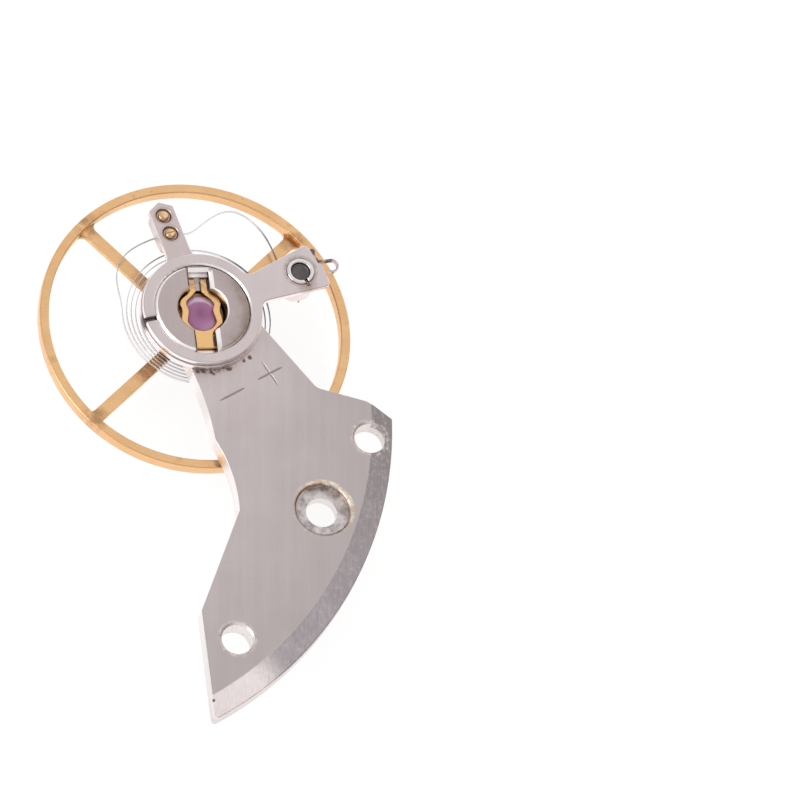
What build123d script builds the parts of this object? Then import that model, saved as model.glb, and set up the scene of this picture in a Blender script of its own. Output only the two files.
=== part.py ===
# Balance assembly of a mechanical watch: the balance with its hairspring, and the cock that carries both.
# All lengths are in millimetres. The origin is on the balance axis, at the tip of the lower pivot.
# +Z points from the rollers up to the cock. The cock's screw and dowel holes lie on one line along Y.
import os
from math import asin, atan2, cos, degrees, pi, radians, sin, sqrt

from build123d import *

os.makedirs("parts", exist_ok=True)

# Fits and small finishing sizes
running_gap = 0.01
edge_break = 0.03
overrun = 0.5

# Calibre: the cock's outer edge is an arc about the centre of the movement. Places on the cock are
# shares of this radius, counted from the balance axis
calibre_radius = 12.75
calibre_centre_share = (-0.3137, -0.4863)
arc_top_angle = 31.5
arc_tip_angle = -26.6
neck_right_share = (0.0862, 0.0826)
shoulder_share = (0.3411, -0.0042)
crown_share = (0.4626, 0.0369)
heel_share = (0.4071, -0.7020)
waist_share = (0.3489, -0.4097)
waist_mid_share = (0.2705, -0.3230)
cusp_share = (0.2041, -0.2793)
neck_mid_share = (0.1350, -0.2072)
neck_left_share = (0.0727, -0.1568)
root_left_share = (-0.0234, -0.0815)
screw_up_share = -0.2855
near_dowel_up_share = -0.0463
far_dowel_up_share = -0.7161

# Balance staff, from the lower pivot upwards
pivot_r = 0.05
lower_pivot_len = 0.30
lower_cone_len = 0.18
roller_seat_r = 0.28
hub_step = 0.10
hub_h = 0.12
wheel_seat_step = 0.12
rivet_h = 0.04
collet_seat_r = 0.28
upper_shank_r = 0.20
upper_shank_len = 0.10
upper_cone_len = 0.12
end_shake = 0.02

# Double roller and its impulse jewel
safety_step = 0.11
safety_h = 0.28
roller_neck_wall = 0.16
roller_neck_h = 0.10
table_r = 1.15
table_thick = 0.18
crescent_r = 0.20
crescent_step = 0.07
impulse_r = 0.17
impulse_flat = 0.09
impulse_edge = 0.05
impulse_proud = 0.02
impulse_drop = 0.44

# Balance wheel
wheel_r = 5.0
rim_w = 0.31
rim_h = 0.42
arm_count = 4
arm_angle = 77.5
arm_w = 0.42
arm_thick = 0.16
wheel_boss_step = 0.35
arm_root_fillet = 0.22
rim_to_cock = 0.16

# Balance cock
cock_thick = 0.65
cock_end_step = 0.067
bevel_run = 0.70
bevel_drop = 0.15
relief_gap = 0.30
relief_depth = 0.04
screw_bore_r = 0.50
counterbore_step = 0.36
counterbore_depth = 0.26
dowel_bore_r = 0.50
dowel_land = 0.24
shoulder_fillet = 0.45
heel_fillet = 0.30
cusp_fillet = 0.12
tip_fillet = 0.12

# Engraved index marks on the cock
mark_reach = 2.90
plus_angle = -10.0
minus_angle = -39.5
mark_turn = 63.5
mark_len = 1.0
mark_w = 0.07
mark_depth = 0.03

# Jewels and jewel setting, from the middle outwards
pivot_play = 0.008
cap_jewel_r = 0.62
cap_edge_h = 0.14
cap_dome_h = 0.08
cap_jewel_step = 0.20
hole_jewel_thick = 0.16
hole_jewel_lift = 0.06
oil_cup_share = 0.66
setting_lift = 0.19
setting_h = 0.43
setting_lip = 0.14
setting_wall = 0.12
setting_cone_run = 0.22
setting_cone_h = 0.17

# Shock block, pressed into the cock, from the setting outwards
block_lip = 0.12
well_gap = 0.06
block_wall = 0.30
flange_w = 0.433
block_proud = 0.02
block_rim_chamfer = 0.09
well_rim_chamfer = 0.05
slot_angle = 126.5
slot_chamfer = 0.05
leg_shelf_depth = 0.20
slot_floor_gap = 0.03

# Slots and lyre spring, as shares of the well's radius
leg_slot_half_share = 0.425
leg_slot_share = 1.80
leg_shelf_share = 1.475
tail_slot_half_share = 0.425
lyre_leg_share = 1.45
lyre_tail_share = 1.581
lyre_hinge_share = 1.525
lyre_bar_half_share = 0.55
lyre_thick = 0.08
lyre_gap = 0.01
lyre_bar_r = 0.05
lyre_bar_play = 0.02

# Hairspring
spring_h = 0.15
spring_thick = 0.05
spring_to_cock = 0.105
spring_hole_r = 0.11
spring_to_rim = 0.34
spring_pins_r = 3.23
coil_step = 0.81
coil_pitch = 0.46
collet_hole_step = 0.18
collet_wall = 0.18
collet_gap = 0.20
collet_h = 0.30

# Regulator
lever_thick = 0.20
regulator_ring_w = 0.43
lever_angle = 140.5
lever_half_w = 0.41
lever_shoulder_step = 0.26
lever_gable = 0.24
lever_tip_fillet = 0.08
lever_pad_back = 0.38
lever_pad_front = 0.24
lever_pad_h = 0.30
lever_root_fillet = 0.25
head_r = 0.175
head_dome_h = 0.08
head_sink_step = 0.06
head_sink_depth = 0.07
pin_r = 0.10
pin_gap = 0.125
boot_r = 0.13
boot_gap = 0.085
boot_arm = 0.28
boot_lip_run = 0.20
boot_blade_w = 0.24
boot_blade_thick = 0.10
boot_lip_h = 0.05
boot_slot_w = 0.05
boot_slot_depth = 0.05

# Stud carrier and what it holds
carrier_ring_w = 0.391
carrier_slit_angle = -132.7
carrier_slit_w = 0.15
stud_angle = 57.2
stud_to_rim = 1.16
stud_neck_r = 0.30
stud_recess = 0.05
stud_body_r = 0.38
stud_below_spring = 0.15
stud_flange_step = 0.18
stud_flange_lift = 0.06
collar_wall = 0.13
collar_proud = 0.03
collar_slit_w = 0.10
collar_slit_turn = -86.0
collar_slit_run = 0.10
carrier_end_step = 0.76
carrier_root_half_w = 0.50
carrier_tip_step = 0.38
carrier_corner_fillet = 0.16
carrier_root_fillet = 0.30
carrier_bore_chamfer = 0.05
clip_thick = 0.06
clip_h = 0.18
clip_step = 0.08
clip_start_angle = 8.0
clip_leave_angle = 1.7
clip_step_angle = 0.7
clip_hook_run = 0.29
clip_hook_side = 0.03
clip_hook_r = 0.20
clip_hook_sweep = 235.0

# Radii and reaches worked out from the pieces inside them
wheel_seat_r = collet_seat_r + wheel_seat_step
hub_r = wheel_seat_r + hub_step
wheel_boss_r = hub_r + wheel_boss_step
roller_neck_r = roller_seat_r + roller_neck_wall
safety_r = roller_neck_r + safety_step
crescent_reach = safety_r + crescent_step
impulse_reach = table_r - impulse_edge - impulse_r
hole_jewel_r = cap_jewel_r - cap_jewel_step
oil_cup_r = oil_cup_share * hole_jewel_r
setting_bore_r = hole_jewel_r - setting_lip
setting_r = cap_jewel_r + setting_wall
setting_base_r = setting_r - setting_cone_run
block_bore_r = setting_base_r - block_lip
well_r = setting_r + well_gap
block_seat_r = well_r + block_wall
block_r = block_seat_r + flange_w
cock_end_r = block_r + cock_end_step
regulator_ring_r = block_r + regulator_ring_w
carrier_ring_r = block_r + carrier_ring_w
counterbore_r = screw_bore_r + counterbore_step
leg_slot_half_w = leg_slot_half_share * well_r
tail_slot_half_w = tail_slot_half_share * well_r
lyre_leg_reach = lyre_leg_share * well_r
lyre_tail_reach = lyre_tail_share * well_r
lyre_hinge_reach = lyre_hinge_share * well_r
lyre_bar_half_len = lyre_bar_half_share * well_r
pin_reach = spring_pins_r + spring_thick / 2 + pin_gap + pin_r
lever_shoulder_reach = pin_reach + lever_shoulder_step
lever_tip_reach = lever_shoulder_reach + lever_gable
boot_blade_reach = spring_pins_r - spring_thick / 2 - boot_gap
boot_lip_reach = boot_blade_reach + boot_lip_run
boot_reach = boot_blade_reach - boot_arm
head_sink_r = head_r + head_sink_step
collar_bore_r = stud_neck_r + running_gap
collar_r = collar_bore_r + collar_wall
stud_flange_r = stud_body_r + stud_flange_step
rim_inner_r = wheel_r - rim_w
stud_reach = rim_inner_r - stud_to_rim
spring_bulge_r = rim_inner_r - spring_to_rim
carrier_end_r = stud_reach + carrier_end_step
carrier_tip_half_w = collar_r + carrier_tip_step
clip_seat_r = carrier_end_r - clip_step
clip_hook_reach = carrier_end_r + clip_hook_run
collet_hole_reach = collet_seat_r + collet_hole_step
collet_r = collet_hole_reach + collet_wall
coil_outer_r = spring_pins_r - coil_step
coil_inner_r = collet_r + collet_gap
spring_pin_r = (spring_hole_r - spring_thick / 2) / 2
spring_pin_offset = spring_thick / 2 + spring_pin_r

# Heights worked out from the stack of pieces
roller_z = lower_pivot_len + lower_cone_len
table_z = roller_z + safety_h + roller_neck_h
hub_z = table_z + table_thick
wheel_z = hub_z + hub_h
arm_top = wheel_z + arm_thick
rim_top = wheel_z + rim_h
cock_z = rim_top + rim_to_cock
cock_top = cock_z + cock_thick
spring_mid = cock_z - spring_to_cock - spring_h / 2
collet_z = spring_mid - collet_h / 2
collet_top = collet_z + collet_h
regulator_z = cock_top + running_gap
regulator_top = regulator_z + lever_thick
carrier_z = regulator_top + running_gap
carrier_top = carrier_z + lever_thick
block_top = carrier_top + block_proud
setting_z = cock_z + setting_lift
cap_jewel_z = setting_z + setting_h - cap_edge_h
upper_pivot_top = cap_jewel_z - end_shake
cap_top = cap_jewel_z + cap_edge_h + cap_dome_h
lyre_z = cap_top + lyre_gap
lyre_mid = lyre_z + lyre_thick / 2
slot_floor = lyre_z - slot_floor_gap
impulse_angle = degrees(atan2(calibre_centre_share[1], calibre_centre_share[0]))


def flat_plane(height, angle=0):
    """A level plane on the balance axis, with its X axis turned to the given angle."""
    a = radians(angle)
    return Plane(origin=(0, 0, height), x_dir=(cos(a), sin(a), 0), z_dir=(0, 0, 1))


def upright_plane(angle=0):
    """The upright plane through the balance axis at the given angle: X runs outwards, Y runs up."""
    a = radians(angle)
    return Plane(origin=(0, 0, 0), x_dir=(cos(a), sin(a), 0), z_dir=(sin(a), -cos(a), 0))


def along(reach, angle):
    """The point at a reach from the balance axis, in the direction of an angle."""
    return (reach * cos(radians(angle)), reach * sin(radians(angle)))


def cock_point(share):
    """A place on the cock from its shares of the calibre's radius."""
    return (share[0] * calibre_radius, share[1] * calibre_radius)


def calibre_point(angle):
    """A point at an angle on the calibre's rim."""
    x, y = along(calibre_radius, angle)
    return (calibre_centre[0] + x, calibre_centre[1] + y)


# Balance cock
calibre_centre = cock_point(calibre_centre_share)
arc_top = calibre_point(arc_top_angle)
arc_mid = calibre_point((arc_top_angle + arc_tip_angle) / 2)
arc_tip = calibre_point(arc_tip_angle)
near_dowel_y = near_dowel_up_share * calibre_radius
dowel_to_centre = calibre_radius - dowel_land - dowel_bore_r
hole_line_x = calibre_centre[0] + sqrt(dowel_to_centre**2 - (near_dowel_y - calibre_centre[1])**2)
screw_place = (hole_line_x, screw_up_share * calibre_radius)
dowel_places = ((hole_line_x, near_dowel_y), (hole_line_x, far_dowel_up_share * calibre_radius))

with BuildPart() as balance_cock:
    with BuildSketch(Plane.XY.offset(cock_z)) as cock_outline:
        with BuildLine():
            Polyline(cock_point(root_left_share), cock_point(neck_right_share),
                     cock_point(shoulder_share), cock_point(crown_share), arc_top)
            ThreePointArc(arc_top, arc_mid, arc_tip)
            Polyline(arc_tip, cock_point(heel_share), cock_point(waist_share))
            ThreePointArc(cock_point(waist_share), cock_point(waist_mid_share), cock_point(cusp_share))
            ThreePointArc(cock_point(cusp_share), cock_point(neck_mid_share), cock_point(neck_left_share))
            Line(cock_point(neck_left_share), cock_point(root_left_share))
        make_face()
        rounded = ((cock_point(shoulder_share), shoulder_fillet), (cock_point(heel_share), heel_fillet),
                   (cock_point(crown_share), shoulder_fillet), (cock_point(cusp_share), cusp_fillet),
                   (cock_point(waist_share), cusp_fillet), (arc_tip, tip_fillet))
        for corner, radius in rounded:
            fillet(cock_outline.vertices().sort_by_distance(Vector(*corner))[0], radius)
        Circle(cock_end_r)
    extrude(amount=cock_thick)
    # The sloping band along the outer arc
    with BuildSketch(Plane(origin=(*calibre_centre, 0), x_dir=(1, 0, 0), z_dir=(0, -1, 0))):
        with BuildLine():
            slope = bevel_drop / bevel_run
            Polyline((calibre_radius - bevel_run, cock_top),
                     (calibre_radius + overrun, cock_top - bevel_drop - overrun * slope),
                     (calibre_radius + overrun, cock_top + overrun),
                     (calibre_radius - bevel_run, cock_top + overrun), close=True)
        make_face()
    revolve(axis=Axis((*calibre_centre, 0), (0, 0, 1)), mode=Mode.SUBTRACT)
    # The round relief over the balance wheel, which leaves the foot standing lower
    with BuildSketch(Plane.XY.offset(cock_z)):
        Circle(wheel_r + relief_gap)
    extrude(amount=relief_depth, mode=Mode.SUBTRACT)
    # The press seat for the shock block, the screw hole and the dowel holes
    with Locations((0, 0, cock_top)):
        Hole(block_seat_r, depth=cock_thick)
    with Locations((*screw_place, cock_top)):
        CounterBoreHole(screw_bore_r, counterbore_r, counterbore_depth, depth=cock_thick)
    with Locations((*screw_place, cock_top - edge_break)):
        Cone(counterbore_r, counterbore_r + edge_break, edge_break,
             align=(Align.CENTER, Align.CENTER, Align.MIN), mode=Mode.SUBTRACT)
    with Locations(*((*place, cock_top) for place in dowel_places)):
        CounterSinkHole(dowel_bore_r, dowel_bore_r + edge_break, depth=cock_thick, counter_sink_angle=90)
    # The two engraved index marks
    with BuildSketch(Plane.XY.offset(cock_top)):
        with Locations(Location((*along(mark_reach, plus_angle), 0), (0, 0, mark_turn))):
            Rectangle(mark_len, mark_w)
            Rectangle(mark_w, mark_len)
        with Locations(Location((*along(mark_reach, minus_angle), 0), (0, 0, mark_turn))):
            Rectangle(mark_len, mark_w)
    extrude(amount=-mark_depth, mode=Mode.SUBTRACT)
balance_cock.part.label = "balance_cock"
export_step(balance_cock.part, "parts/balance_cock.step")

# Shock block: a turned body with a well for the jewels and two slots for the lyre spring
with BuildPart() as shock_block:
    with BuildSketch(upright_plane()):
        with BuildLine():
            Polyline((block_bore_r, cock_z), (block_seat_r, cock_z), (block_seat_r, cock_top),
                     (block_r, cock_top), (block_r, block_top), (well_r, block_top),
                     (well_r, setting_z + setting_cone_h),
                     (setting_r + running_gap, setting_z + setting_cone_h),
                     (setting_base_r + running_gap, setting_z), (block_bore_r, setting_z), close=True)
        make_face()
    revolve(axis=Axis.Z)
    block_rims = shock_block.edges().filter_by(GeomType.CIRCLE).group_by(Axis.Z)[-1]
    chamfer(block_rims.sort_by(SortBy.RADIUS)[-1], block_rim_chamfer)
    chamfer(block_rims.sort_by(SortBy.RADIUS)[0], well_rim_chamfer)
    # Slot for the two legs, with its raised shelf, then the through slot for the tail
    leg_slot_end = leg_slot_share * well_r
    with BuildSketch(flat_plane(block_top, slot_angle)):
        Rectangle(leg_slot_end, 2 * leg_slot_half_w, align=(Align.MIN, Align.CENTER))
    extrude(amount=-leg_shelf_depth, mode=Mode.SUBTRACT)
    with BuildSketch(flat_plane(block_top, slot_angle)):
        Rectangle(leg_shelf_share * well_r, 2 * leg_slot_half_w, align=(Align.MIN, Align.CENTER))
        Rectangle(block_r + overrun, 2 * tail_slot_half_w, align=(Align.MAX, Align.CENTER))
    extrude(amount=slot_floor - block_top, mode=Mode.SUBTRACT)
    # Sloping edges along both slots
    for slot_end, half_w in ((leg_slot_end, leg_slot_half_w), (-block_r - overrun, tail_slot_half_w)):
        end_plane = Plane(origin=(*along(slot_end, slot_angle), block_top),
                          x_dir=(*along(1, slot_angle + 90), 0), z_dir=(*along(-1, slot_angle), 0))
        with BuildSketch(end_plane):
            with BuildLine():
                Polyline((-half_w, -slot_chamfer), (half_w, -slot_chamfer), (half_w + slot_chamfer, 0),
                         (-half_w - slot_chamfer, 0), close=True)
            make_face()
        extrude(amount=slot_end, mode=Mode.SUBTRACT)
    # Side pockets for the bar at the end of the tail
    with BuildSketch(upright_plane(slot_angle).offset(-lyre_bar_half_len - lyre_bar_play)):
        with Locations((-lyre_hinge_reach, lyre_mid)):
            Circle(lyre_bar_r + lyre_bar_play)
    extrude(amount=2 * (lyre_bar_half_len + lyre_bar_play), mode=Mode.SUBTRACT)
shock_block.part.label = "shock_block"
export_step(shock_block.part, "parts/shock_block.step")

# Jewel setting: a small turned cup on the block's conical seat
with BuildPart() as jewel_setting:
    hole_jewel_z = setting_z + hole_jewel_lift
    hole_jewel_top = hole_jewel_z + hole_jewel_thick
    with BuildSketch(upright_plane()):
        with BuildLine():
            Polyline((setting_bore_r, setting_z), (setting_base_r, setting_z),
                     (setting_r, setting_z + setting_cone_h), (setting_r, setting_z + setting_h),
                     (cap_jewel_r, setting_z + setting_h), (cap_jewel_r, cap_jewel_z),
                     (hole_jewel_r, cap_jewel_z), (hole_jewel_r, hole_jewel_z),
                     (setting_bore_r, hole_jewel_z), close=True)
        make_face()
    revolve(axis=Axis.Z)
jewel_setting.part.label = "jewel_setting"
export_step(jewel_setting.part, "parts/jewel_setting.step")

# Hole jewel: a ring with an oil cup round the pivot hole
with BuildPart() as hole_jewel:
    with BuildSketch(upright_plane()):
        with BuildLine():
            Polyline((pivot_r + pivot_play, hole_jewel_z), (hole_jewel_r, hole_jewel_z),
                     (hole_jewel_r, hole_jewel_top), (oil_cup_r, hole_jewel_top),
                     (pivot_r + pivot_play, hole_jewel_top - hole_jewel_thick / 3), close=True)
        make_face()
    revolve(axis=Axis.Z)
hole_jewel.part.label = "hole_jewel"
export_step(hole_jewel.part, "parts/hole_jewel.step")

# Cap jewel: flat below, domed above
with BuildPart() as cap_jewel:
    cap_edge_z = cap_jewel_z + cap_edge_h
    dome_r = (cap_jewel_r**2 + cap_dome_h**2) / (2 * cap_dome_h)
    with BuildSketch(upright_plane()):
        with BuildLine():
            Polyline((0, cap_top), (0, cap_jewel_z), (cap_jewel_r, cap_jewel_z),
                     (cap_jewel_r, cap_edge_z))
            RadiusArc((cap_jewel_r, cap_edge_z), (0, cap_top), -dome_r)
        make_face()
    revolve(axis=Axis.Z)
cap_jewel.part.label = "cap_jewel"
export_step(cap_jewel.part, "parts/cap_jewel.step")

# Shock spring: half of the lyre's outer and inner edge, as shares of the well's radius, from tail to legs
lyre_outer_shares = ((-1.10, 0.35), (-0.97, 0.365), (-0.84, 0.42), (-0.70, 0.56), (-0.48, 0.80),
                     (-0.24, 0.81), (0.02, 0.76), (0.19, 0.77), (0.37, 0.82), (0.60, 0.72), (0.80, 0.47),
                     (0.94, 0.363))
lyre_inner_shares = ((-0.825, 0.00), (-0.77, 0.26), (-0.63, 0.45), (-0.42, 0.58), (-0.21, 0.55),
                     (0.02, 0.50), (0.15, 0.50), (0.33, 0.56), (0.51, 0.52), (0.70, 0.32), (0.92, 0.11))


def lyre_edge(shares, side):
    """The points of one edge of the lyre, on one side of its middle line."""
    return [(along_share * well_r, side * across_share * well_r) for along_share, across_share in shares]


with BuildPart() as shock_spring:
    with BuildSketch(flat_plane(lyre_z, slot_angle)) as lyre_outline:
        for side in (1, -1):
            outer = lyre_edge(lyre_outer_shares, side)
            inner = lyre_edge(lyre_inner_shares, side)
            with BuildLine():
                Spline(outer, tangents=((1, 0), (1, 0)))
                Polyline(outer[-1], (lyre_leg_reach, outer[-1][1]), (lyre_leg_reach, inner[-1][1]),
                         inner[-1])
                Spline(inner[::-1], tangents=((-1, 0), (0, -side)))
                Polyline(inner[0], (-lyre_tail_reach, 0), (-lyre_tail_reach, outer[0][1]), outer[0])
            make_face()
    extrude(amount=lyre_thick)
    with BuildSketch(upright_plane(slot_angle).offset(-lyre_bar_half_len)):
        with Locations((-lyre_hinge_reach, lyre_mid)):
            Circle(lyre_bar_r)
    extrude(amount=2 * lyre_bar_half_len)
shock_spring.part.label = "shock_spring"
export_step(shock_spring.part, "parts/shock_spring.step")

# Regulator: a ring round the block, with its lever, and a pad under the lever for pin and boot
with BuildPart() as regulator:
    with BuildSketch(flat_plane(regulator_z, lever_angle)) as regulator_outline:
        Circle(regulator_ring_r)
        with BuildLine():
            Polyline((0, lever_half_w), (lever_shoulder_reach, lever_half_w), (lever_tip_reach, 0),
                     (lever_shoulder_reach, -lever_half_w), (0, -lever_half_w), close=True)
        make_face()
        for x, y in ((lever_shoulder_reach, lever_half_w), (lever_tip_reach, 0),
                     (lever_shoulder_reach, -lever_half_w)):
            fillet(regulator_outline.vertices().sort_by_distance(Vector(x, y))[0], lever_tip_fillet)
        ring_meets_lever = sqrt(regulator_ring_r**2 - lever_half_w**2)
        for side in (1, -1):
            corner = Vector(ring_meets_lever, side * lever_half_w)
            fillet(regulator_outline.vertices().sort_by_distance(corner)[0], lever_root_fillet)
        Circle(block_r + running_gap, mode=Mode.SUBTRACT)
    extrude(amount=lever_thick)
    with BuildSketch(flat_plane(regulator_z, lever_angle)):
        pad_start = boot_reach - lever_pad_back
        pad_end = pin_reach + lever_pad_front
        with Locations(((pad_start + pad_end) / 2, 0)):
            RectangleRounded(pad_end - pad_start, 2 * lever_half_w, lever_half_w / 2)
    extrude(amount=-lever_pad_h)
    # Holes and countersinks for the pin and the boot
    with BuildSketch(flat_plane(regulator_top, lever_angle)):
        with Locations((pin_reach, 0), (boot_reach, 0)):
            Circle(head_sink_r)
    extrude(amount=-head_sink_depth, mode=Mode.SUBTRACT)
    with BuildSketch(flat_plane(regulator_top, lever_angle)):
        with Locations((pin_reach, 0)):
            Circle(pin_r)
        with Locations((boot_reach, 0)):
            Circle(boot_r + running_gap)
    extrude(amount=-lever_thick - lever_pad_h, mode=Mode.SUBTRACT)
regulator.part.label = "regulator"
export_step(regulator.part, "parts/regulator.step")

pin_bottom = spring_mid - stud_below_spring
head_z = regulator_top - head_sink_depth + running_gap
head_shoulder = head_z + head_dome_h / 2
head_top = head_shoulder + head_dome_h


def domed_shank(shank_r, bottom):
    """The half outline of a round shank with a domed head, drawn beside its own axis."""
    dome_r = (head_r**2 + head_dome_h**2) / (2 * head_dome_h)
    Polyline((0, head_top), (0, bottom), (shank_r, bottom), (shank_r, head_z), (head_r, head_z),
             (head_r, head_shoulder))
    RadiusArc((head_r, head_shoulder), (0, head_top), -dome_r)


# Regulator pin: the fixed outer pin
with BuildPart() as regulator_pin:
    x, y = along(pin_reach, lever_angle)
    with BuildSketch(Plane(origin=(x, y, 0), x_dir=(1, 0, 0), z_dir=(0, -1, 0))):
        with BuildLine():
            domed_shank(pin_r, pin_bottom)
        make_face()
    revolve(axis=Axis((x, y, 0), (0, 0, 1)))
regulator_pin.part.label = "regulator_pin"
export_step(regulator_pin.part, "parts/regulator_pin.step")

# Regulator boot: the inner key, with a blade beside the hairspring and a lip under it
boot_bottom = spring_mid - spring_h / 2 - boot_lip_h / 2 - boot_lip_h
with BuildPart() as regulator_boot:
    x, y = along(boot_reach, lever_angle)
    with BuildSketch(Plane(origin=(x, y, 0), x_dir=(1, 0, 0), z_dir=(0, -1, 0))):
        with BuildLine():
            domed_shank(boot_r, boot_bottom)
        make_face()
    revolve(axis=Axis((x, y, 0), (0, 0, 1)))
    with BuildSketch(flat_plane(boot_bottom, lever_angle)):
        with Locations((boot_blade_reach, 0)):
            Rectangle(boot_blade_reach - boot_reach, boot_blade_w, align=(Align.MAX, Align.CENTER))
    extrude(amount=regulator_z - lever_pad_h - running_gap - boot_bottom)
    with BuildSketch(flat_plane(boot_bottom, lever_angle)):
        with Locations((boot_lip_reach, 0)):
            Rectangle(boot_lip_reach - boot_blade_reach + boot_blade_thick, boot_blade_w,
                      align=(Align.MAX, Align.CENTER))
    extrude(amount=boot_lip_h)
    # Screwdriver slot across the head
    with BuildSketch(flat_plane(head_top, lever_angle)):
        with Locations((boot_reach, 0)):
            Rectangle(boot_slot_w, 2 * (head_r + edge_break))
    extrude(amount=-boot_slot_depth, mode=Mode.SUBTRACT)
regulator_boot.part.label = "regulator_boot"
export_step(regulator_boot.part, "parts/regulator_boot.step")

# Stud carrier: a split ring with a fan-shaped arm
with BuildPart() as stud_carrier:
    with BuildSketch(flat_plane(carrier_z, stud_angle)) as carrier_outline:
        with BuildLine():
            reach = carrier_end_r + overrun
            flare = (carrier_tip_half_w - carrier_root_half_w) / (carrier_end_r - carrier_ring_r)
            wide = carrier_root_half_w + flare * (reach - carrier_ring_r)
            narrow = carrier_root_half_w - flare * carrier_ring_r
            Polyline((0, narrow), (reach, wide), (reach, -wide), (0, -narrow), close=True)
        make_face()
        Circle(carrier_end_r, mode=Mode.INTERSECT)
        # The step in the arm's end that the clip lies in
        with BuildLine():
            inner = CenterArc((0, 0), clip_seat_r, clip_step_angle, 2 * clip_start_angle)
            outer = CenterArc((0, 0), carrier_end_r + overrun, clip_step_angle, 2 * clip_start_angle)
            Line(inner @ 0, outer @ 0)
            Line(inner @ 1, outer @ 1)
        make_face(mode=Mode.SUBTRACT)
        for side in (1, -1):
            corner = Vector(carrier_end_r, side * carrier_tip_half_w)
            fillet(carrier_outline.vertices().sort_by_distance(corner)[0], carrier_corner_fillet)
        Circle(carrier_ring_r)
        for side in (1, -1):
            corner = Vector(carrier_ring_r, side * carrier_root_half_w)
            fillet(carrier_outline.vertices().sort_by_distance(corner)[0], carrier_root_fillet)
        Circle(block_r + running_gap, mode=Mode.SUBTRACT)
        with Locations((stud_reach, 0)):
            Circle(collar_r, mode=Mode.SUBTRACT)
        with Locations(Location((stud_reach, 0, 0), (0, 0, collar_slit_turn))):
            Rectangle(collar_r + collar_slit_run, collar_slit_w, align=(Align.MIN, Align.CENTER),
                      mode=Mode.SUBTRACT)
    extrude(amount=lever_thick)
    with BuildSketch(flat_plane(carrier_z, carrier_slit_angle)):
        Rectangle(carrier_ring_r + overrun, carrier_slit_w, align=(Align.MIN, Align.CENTER))
    extrude(amount=lever_thick, mode=Mode.SUBTRACT)
    top_face = stud_carrier.faces().sort_by(Axis.Z)[-1]
    chamfer(top_face.outer_wire().edges(), edge_break)
    # The sloping rim of the ring's bore
    with BuildSketch(upright_plane()):
        with BuildLine():
            slope_run = running_gap + carrier_bore_chamfer
            Polyline((block_r, carrier_top), (block_r + slope_run, carrier_top),
                     (block_r, carrier_top - slope_run), close=True)
        make_face()
    revolve(axis=Axis.Z, mode=Mode.SUBTRACT)
stud_carrier.part.label = "stud_carrier"
export_step(stud_carrier.part, "parts/stud_carrier.step")

# Stud collar: a slit bush that grips the stud
with BuildPart() as stud_collar:
    with BuildSketch(flat_plane(carrier_z - collar_proud, stud_angle)):
        with Locations((stud_reach, 0)):
            Circle(collar_r)
            Circle(collar_bore_r, mode=Mode.SUBTRACT)
        with Locations(Location((stud_reach, 0, 0), (0, 0, collar_slit_turn))):
            Rectangle(collar_r + overrun, collar_slit_w, align=(Align.MIN, Align.CENTER),
                      mode=Mode.SUBTRACT)
    extrude(amount=lever_thick + 2 * collar_proud)
    collar_rims = stud_collar.faces().sort_by(Axis.Z)[-1].edges().filter_by(GeomType.CIRCLE)
    chamfer(collar_rims, edge_break)
stud_collar.part.label = "stud_collar"
export_step(stud_collar.part, "parts/stud_collar.step")

# Hairspring stud: a neck in the collar and a body that reaches down to the hairspring
stud_shoulder = carrier_z - collar_proud - running_gap
with BuildPart() as hairspring_stud:
    with BuildSketch(flat_plane(spring_mid - stud_below_spring, stud_angle)):
        with Locations((stud_reach, 0)):
            Circle(stud_body_r)
    extrude(amount=stud_shoulder - spring_mid + stud_below_spring)
    with BuildSketch(flat_plane(cock_z + stud_flange_lift, stud_angle)):
        with Locations((stud_reach, 0)):
            Circle(stud_flange_r)
    extrude(amount=stud_shoulder - cock_z - stud_flange_lift)
    with BuildSketch(flat_plane(stud_shoulder, stud_angle)):
        with Locations((stud_reach, 0)):
            Circle(stud_neck_r)
    extrude(amount=carrier_top - stud_recess - stud_shoulder)
    with BuildSketch(upright_plane(stud_angle).offset(-stud_body_r - overrun)):
        with Locations((stud_reach, spring_mid)):
            Circle(spring_hole_r)
    extrude(amount=2 * (stud_body_r + overrun), mode=Mode.SUBTRACT)
hairspring_stud.part.label = "hairspring_stud"
export_step(hairspring_stud.part, "parts/hairspring_stud.step")

# Stud pin: holds the spring's outer end in the stud's cross hole
with BuildPart() as stud_pin:
    with BuildSketch(upright_plane(stud_angle).offset(-stud_body_r - edge_break)):
        with Locations((stud_reach + spring_pin_offset, spring_mid)):
            Circle(spring_pin_r)
    extrude(amount=2 * (stud_body_r + edge_break))
stud_pin.part.label = "stud_pin"
export_step(stud_pin.part, "parts/stud_pin.step")

# Stud clip: a strip along the carrier's end that leaves it and curls into an open hook
with BuildPart() as stud_clip:
    with BuildSketch(flat_plane(carrier_z, stud_angle)):
        with BuildLine():
            strip_r = clip_seat_r + clip_thick / 2
            seat = CenterArc((0, 0), strip_r, clip_start_angle, clip_leave_angle - clip_start_angle)
            Line(seat @ 1, (clip_hook_reach, clip_hook_side))
            CenterArc((clip_hook_reach, clip_hook_side - clip_hook_r), clip_hook_r, 90, -clip_hook_sweep)
        trace(line_width=clip_thick)
    extrude(amount=clip_h)
stud_clip.part.label = "stud_clip"
export_step(stud_clip.part, "parts/stud_clip.step")

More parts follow.
